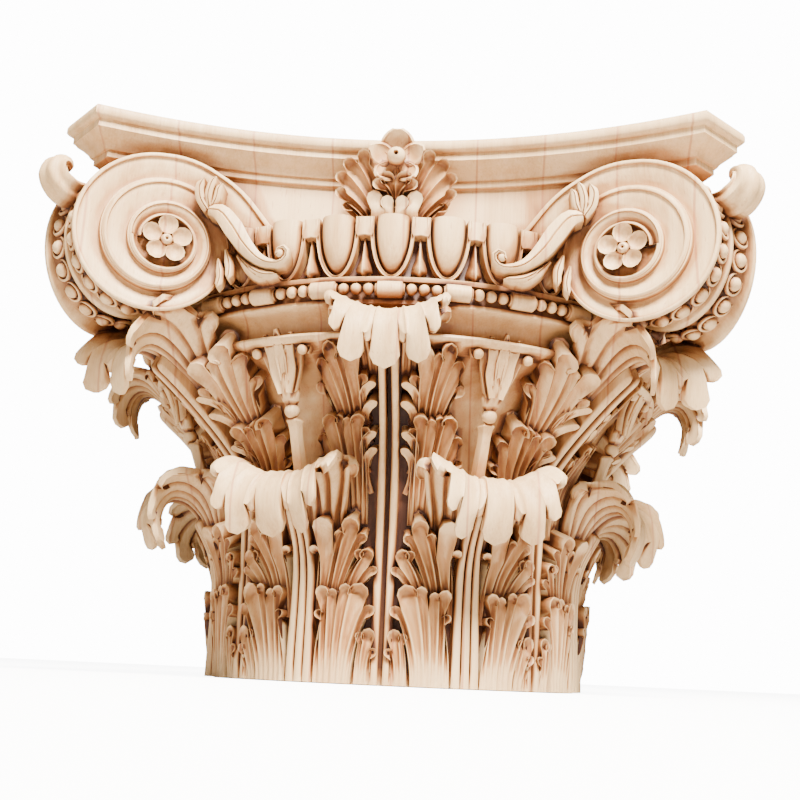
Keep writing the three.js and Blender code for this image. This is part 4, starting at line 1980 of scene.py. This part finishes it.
@dataclass(frozen=True)
class GluedBoards:
    """Upright boards side by side along X, each with its own tone."""

    half_span: float = 0.24
    joints: tuple[float, ...] = (-0.211, -0.17, -0.128, -0.086, -0.04, 0.0065, 0.046, 0.085,
                                 0.125, 0.164, 0.206)
    tones: tuple[float, ...] = (0.5, 0.35, 0.62, 0.45, 0.7, 0.4, 0.66, 0.5, 0.78, 0.42, 0.58, 0.5)
    line: float = 0.00036

    def build(self) -> bpy.types.NodeTree:
        """Make the group that gives each board's tone and the glue lines.

        Returns:
            What is made.
        """
        group = new_group("glued_boards", ("Vector",), ("Tone", "Line"))
        desk = Desk(group)
        given = desk.add("NodeGroupInput")
        gives = desk.add("NodeGroupOutput")
        split = desk.add("ShaderNodeSeparateXYZ")
        desk.feed(split.inputs[0], given.outputs["Vector"])
        sway = desk.noise(given.outputs["Vector"], (0.0, 0.0, 14.0), 1.0)
        lean = desk.sum("MULTIPLY", desk.sum("SUBTRACT", sway, 0.5), 0.002)
        across = desk.sum("ADD", split.outputs["X"], lean)
        share = desk.ranged(across, -self.half_span, self.half_span)
        places = [0.0] + [(x + self.half_span) / (2 * self.half_span) for x in self.joints]
        stops = [(place, (tone, tone, tone)) for place, tone in zip(places, self.tones)]
        desk.feed(gives.inputs["Tone"], desk.ramp(share, stops, stepped=True))
        line: Socket | float = 0.0
        for joint in self.joints:
            off = desk.sum("ABSOLUTE", desk.sum("SUBTRACT", across, joint))
            near = desk.ranged(off, self.line, self.line * 2.2, 1.0, 0.0)
            line = desk.sum("MAXIMUM", line, near)
        desk.feed(gives.inputs["Line"], line)
        return group


def wood_grain_group() -> bpy.types.NodeTree:
    """Make the group of upright fibres, pores and slow clouds of colour.

    Returns:
        The group.
    """
    group = new_group("wood_grain", ("Vector",), ("Fibre", "Pore", "Cloud", "Height"))
    desk = Desk(group)
    given = desk.add("NodeGroupInput")
    gives = desk.add("NodeGroupOutput")
    vector = given.outputs["Vector"]
    broad = desk.noise(vector, (170.0, 170.0, 5.0), 3.0)
    fine = desk.noise(vector, (900.0, 900.0, 26.0), 2.0)
    fibre = desk.sum("ADD", desk.sum("MULTIPLY", broad, 0.6), desk.sum("MULTIPLY", fine, 0.4))
    desk.feed(gives.inputs["Fibre"], desk.ranged(fibre, 0.33, 0.67))
    speck = desk.noise(vector, (1500.0, 1500.0, 150.0), 1.0)
    pore = desk.ranged(speck, 0.66, 0.74)
    desk.feed(gives.inputs["Pore"], pore)
    cloud = desk.noise(vector, (22.0, 22.0, 12.0), 2.0)
    desk.feed(gives.inputs["Cloud"], desk.ranged(cloud, 0.35, 0.65))
    sunk = desk.sum("MULTIPLY", pore, -0.8)
    desk.feed(gives.inputs["Height"], desk.sum("ADD", fine, sunk))
    return group


@dataclass(frozen=True)
class CarvedWood:
    """Pale close-grained wood, cut by hand, with shade painted into its colour: warm brown to near black
    where nearby carving shuts a point in.
    """

    cream: Colour = (0.66, 0.46, 0.245)
    tan: Colour = (0.47, 0.275, 0.115)
    # Painted shade: stops of the multiplier that darkens the wood toward warm dark brown the more a
    # point is shut in by nearby carving.
    painted_shade_stops: tuple[tuple[float, Colour], ...] = (
        (0.08, (1.0, 1.0, 1.0)),
        (0.26, (0.68, 0.51, 0.37)),
        (0.45, (0.35, 0.19, 0.105)),
        (0.72, (0.08, 0.028, 0.01)),
    )
    glue: Colour = (0.42, 0.20, 0.10)
    roughness: float = 0.5
    grain_depth: float = 0.00012

    def build(self) -> bpy.types.Material:
        """Make the material.

        Returns:
            What is made.
        """
        material = bpy.data.materials.new("carved_wood")
        material.use_nodes = True
        desk = Desk(material.node_tree)
        shader = material.node_tree.nodes["Principled BSDF"]
        space = desk.add("ShaderNodeTexCoord").outputs["Object"]
        boards = desk.add("ShaderNodeGroup", node_tree=GluedBoards().build())
        grain = desk.add("ShaderNodeGroup", node_tree=wood_grain_group())
        desk.feed(boards.inputs["Vector"], space)
        desk.feed(grain.inputs["Vector"], space)
        mixed = desk.sum(
            "ADD",
            desk.sum("MULTIPLY", grain.outputs["Fibre"], 0.55),
            desk.sum(
                "ADD",
                desk.sum("MULTIPLY", boards.outputs["Tone"], 0.5),
                desk.sum("MULTIPLY", grain.outputs["Cloud"], 0.4),
            ),
        )
        body = desk.blend(desk.ranged(mixed, 0.25, 0.95), self.tan, self.cream)
        pores = desk.sum("MULTIPLY", grain.outputs["Pore"], 0.45)
        body = desk.blend(pores, body, self.glue)
        lines = desk.sum("MULTIPLY", boards.outputs["Line"], 0.75)
        body = desk.blend(lines, body, self.glue)
        # Painted shade: the stored shut-in value picks a darkening colour from the ramp, and the wood's
        # colour is multiplied by it.
        recess_shade = desk.add("ShaderNodeAttribute", attribute_name="recess_shade").outputs["Fac"]
        depth = desk.ramp(recess_shade, self.painted_shade_stops)
        desk.feed(shader.inputs["Base Color"], desk.blend(1.0, body, depth, "MULTIPLY"))
        desk.feed(
            shader.inputs["Roughness"],
            desk.ranged(grain.outputs["Fibre"], 0.0, 1.0, self.roughness + 0.08, self.roughness),
        )
        bump = desk.add("ShaderNodeBump")
        bump.inputs["Strength"].default_value = 0.8
        bump.inputs["Distance"].default_value = self.grain_depth
        desk.feed(bump.inputs["Height"], grain.outputs["Height"])
        desk.feed(shader.inputs["Normal"], bump.outputs["Normal"])
        shader.inputs["Specular IOR Level"].default_value = 0.35
        return material


# ------------------------------------------------------------------- assembly


@dataclass
class Workshop:
    """Turns finished forms into pieces of the model and keeps a list of them."""

    material: bpy.types.Material
    rings: list[list[bpy.types.Object]] = field(default_factory=list)

    def finish(self, name: str, form: bmesh.types.BMesh, azimuth: float = 0.0) -> bpy.types.Object:
        """Write a form as a piece.

        Args:
            name: The piece's name.
            form: Its shape in millimetres. It stays usable.
            azimuth: How far it is turned about the capital's axis.

        Returns:
            The piece, riding on the capital's body.
        """
        copy = form.copy()
        bmesh.ops.remove_doubles(copy, verts=copy.verts, dist=1e-4)
        face_outward(copy)
        turn = Matrix.Rotation(azimuth, 4, "Z")
        bmesh.ops.transform(copy, matrix=Matrix.Scale(MM, 4) @ turn, verts=copy.verts)
        mesh = bpy.data.meshes.new(name)
        copy.to_mesh(mesh)
        copy.free()
        mesh.polygons.foreach_set("use_smooth", [True] * len(mesh.polygons))
        mesh.set_sharp_from_angle(angle=SOFT_ANGLE)
        mesh.materials.append(self.material)
        piece = bpy.data.objects.new(name, mesh)
        bpy.context.scene.collection.objects.link(piece)
        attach(piece, "root")
        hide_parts("capital")
        log.info("%s: %d vertices, %d faces", name, len(mesh.vertices), len(mesh.polygons))
        return piece

    def ring(self, name: str, form: bmesh.types.BMesh, count: int, first: float = 0.0) -> None:
        """Write copies of a form evenly round the axis, numbered from the front.

        Args:
            name: The pieces' name, before their numbers.
            form: Their shape in millimetres. It is freed.
            count: How many there are.
            first: The first piece's turn about the axis.
        """
        pieces = [
            self.finish(f"{name}_{number + 1}", form, first + number * TURN / count)
            for number in range(count)
        ]
        self.rings.append(pieces)
        form.free()

    def single(self, name: str, form: bmesh.types.BMesh) -> None:
        """Write a form once, where it stands."""
        self.rings.append([self.finish(name, form)])
        form.free()


@dataclass(frozen=True)
class RecessShading:
    """Works out how shut in by nearby carving each point of the model lies, for the shade painted into
    the wood's colour.
    """

    rays: int = 24
    reach: float = 0.022
    clear: float = 0.0003

    def directions(self) -> list[Vector]:
        """Evenly spread directions of a half sphere about +Z.

        Returns:
            The directions, each one unit long.
        """
        golden = math.pi * (3 - math.sqrt(5))
        found = []
        for number in range(self.rays):
            height = math.sqrt((number + 0.5) / self.rays)
            spread = math.sqrt(1 - height * height)
            angle = number * golden
            found.append(Vector((spread * math.cos(angle), spread * math.sin(angle), height)))
        return found

    def measure(self, mesh: bpy.types.Mesh, tree: BVHTree) -> np.ndarray:
        """Share of the view from each point that its near surroundings block.

        Args:
            mesh: The mesh whose points are measured.
            tree: The whole model, for the rays to hit.

        Returns:
            One value for each point, from 0 in the open.
        """
        fan = self.directions()
        values = np.zeros(len(mesh.vertices), np.float32)
        for index, vert in enumerate(mesh.vertices):
            normal = vert.normal
            start = vert.co + normal * self.clear
            turned_to = normal.to_track_quat("Z", "Y")
            hit = 0.0
            for way in fan:
                found = tree.ray_cast(start, turned_to @ way, self.reach)
                if found[3] is not None:
                    hit += 1 - 0.7 * found[3] / self.reach
            values[index] = hit / len(fan)
        return values

    def write(self, rings: Sequence[Sequence[bpy.types.Object]]) -> None:
        """Store the painted-shade value of every point, worked out once for each ring.

        Args:
            rings: The pieces, each ring sharing one shape.
        """
        whole = bmesh.new()
        for ring in rings:
            for piece in ring:
                whole.from_mesh(piece.data)
        tree = BVHTree.FromBMesh(whole)
        whole.free()
        for ring in rings:
            values = self.measure(ring[0].data, tree)
            for piece in ring:
                attribute = piece.data.attributes.new("recess_shade", "FLOAT", "POINT")
                attribute.data.foreach_set("value", values)


@dataclass(frozen=True)
class Studio:
    """The pale floor, the soft lights and the camera."""

    azimuth: float = math.radians(3.557)
    distance: float = 729.69
    height: float = 6.0
    yaw: float = math.radians(0.3035)
    pitch: float = math.radians(14.580)
    roll: float = math.radians(2.617)
    lens: float = 47.68
    key: float = 240.0
    fill: float = 8.0
    surround: float = 0.07
    backdrop: float = 14.0
    floor_glow: float = 9.0

    def camera(self) -> None:
        """Place the camera low in front, looking up."""
        data = bpy.data.cameras.new("camera")
        data.sensor_width = 36.0
        data.lens = self.lens
        data.clip_start = 0.002
        data.clip_end = 50.0
        place = polar(self.distance, self.azimuth, self.height)
        heading = self.azimuth + self.yaw
        forward = Vector(
            (
                -math.sin(heading) * math.cos(self.pitch),
                math.cos(heading) * math.cos(self.pitch),
                math.sin(self.pitch),
            )
        )
        level = forward.cross(Vector((0, 0, 1))).normalized()
        upward = level.cross(forward)
        right = level * math.cos(self.roll) + upward * math.sin(self.roll)
        top = -level * math.sin(self.roll) + upward * math.cos(self.roll)
        camera = bpy.data.objects.new("camera", data)
        matrix = Matrix((right, top, -forward)).transposed().to_4x4()
        matrix.translation = place * MM
        camera.matrix_world = matrix
        bpy.context.scene.collection.objects.link(camera)
        bpy.context.scene.camera = camera

    def floor(self) -> None:
        """Lay the plain pale floor."""
        form = bmesh.new()
        bmesh.ops.create_grid(form, x_segments=1, y_segments=1, size=60.0)
        mesh = bpy.data.meshes.new("floor")
        form.to_mesh(mesh)
        form.free()
        material = bpy.data.materials.new("floor")
        material.use_nodes = True
        shader = material.node_tree.nodes["Principled BSDF"]
        shader.inputs["Base Color"].default_value = (0.55, 0.52, 0.49, 1)
        shader.inputs["Roughness"].default_value = 0.9
        shader.inputs["Emission Color"].default_value = (1, 1, 1, 1)
        desk = Desk(material.node_tree)
        seen = desk.add("ShaderNodeLightPath").outputs["Is Camera Ray"]
        desk.feed(
            shader.inputs["Emission Strength"], desk.sum("MULTIPLY", seen, self.floor_glow)
        )
        mesh.materials.append(material)
        floor = bpy.data.objects.new("floor", mesh)
        bpy.context.scene.collection.objects.link(floor)

    def light(self, name: str, place: Vector, size: float, power: float) -> None:
        """Hang one soft square light that faces the capital, places in metres."""
        target = Vector((0, 0, 0.18))
        data = bpy.data.lights.new(name, "AREA")
        data.size = size
        data.energy = power
        data.color = (1.0, 0.95, 0.87)
        lamp = bpy.data.objects.new(name, data)
        lamp.location = place
        lamp.rotation_euler = (target - place).to_track_quat("-Z", "Y").to_euler()
        bpy.context.scene.collection.objects.link(lamp)

    def sky(self) -> None:
        """Set the white surroundings: bright behind the piece, mild as a light."""
        world = bpy.data.worlds.new("studio")
        world.use_nodes = True
        desk = Desk(world.node_tree)
        mild = world.node_tree.nodes["Background"]
        mild.inputs["Color"].default_value = (1.0, 0.98, 0.95, 1)
        mild.inputs["Strength"].default_value = self.surround
        white = desk.add("ShaderNodeBackground")
        white.inputs["Color"].default_value = (1, 1, 1, 1)
        white.inputs["Strength"].default_value = self.backdrop
        chosen = desk.add("ShaderNodeMixShader")
        desk.feed(chosen.inputs[0], desk.add("ShaderNodeLightPath").outputs["Is Camera Ray"])
        desk.feed(chosen.inputs[1], mild.outputs[0])
        desk.feed(chosen.inputs[2], white.outputs[0])
        output = world.node_tree.nodes["World Output"]
        desk.feed(output.inputs["Surface"], chosen.outputs[0])
        bpy.context.scene.world = world

    def build(self) -> None:
        """Set up the whole studio."""
        self.camera()
        self.floor()
        self.sky()
        self.light("key", Vector((0.35, -1.1, 1.45)), 0.5, self.key)
        self.light("fill", Vector((-1.2, -0.8, 0.6)), 1.0, self.fill)


def main() -> None:
    """Build the capital, dress it and set up the studio."""
    logging.basicConfig(level=logging.INFO, format="%(name)s: %(message)s")
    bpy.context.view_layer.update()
    shop = Workshop(CarvedWood().build())
    eighth = TURN / 8
    shop.single("abacus", Abacus().shape())
    shop.single("bell", Bell().shape())
    shop.single("echinus", Echinus().shape())
    shop.single("bead_row", BeadRow().shape())
    shop.single("egg_row", EggRow().shape())
    shop.ring("volute", Volute().shape(), SIDES)
    shop.ring("ear", Ear().shape(), SIDES)
    shop.ring("husk", Husk().shape(), SIDES)
    shop.ring("lower_leaf", lower_leaf().shape(), 8, eighth / 2)
    shop.ring("middle_leaf", middle_leaf().shape(), SIDES)
    shop.ring("corner_leaf", corner_leaf().shape(), SIDES, eighth)
    shop.ring("stalk", Stalk(0.0).shape(), 8, eighth / 2)
    shop.ring("fleuron", Fleuron().shape(), SIDES)
    # Bake the painted shade: how shut in each point is, stored for the wood's colour to darken by.
    RecessShading(24).write(shop.rings)
    Studio().build()
    bpy.context.view_layer.update()


if __name__ == "__main__":
    main()
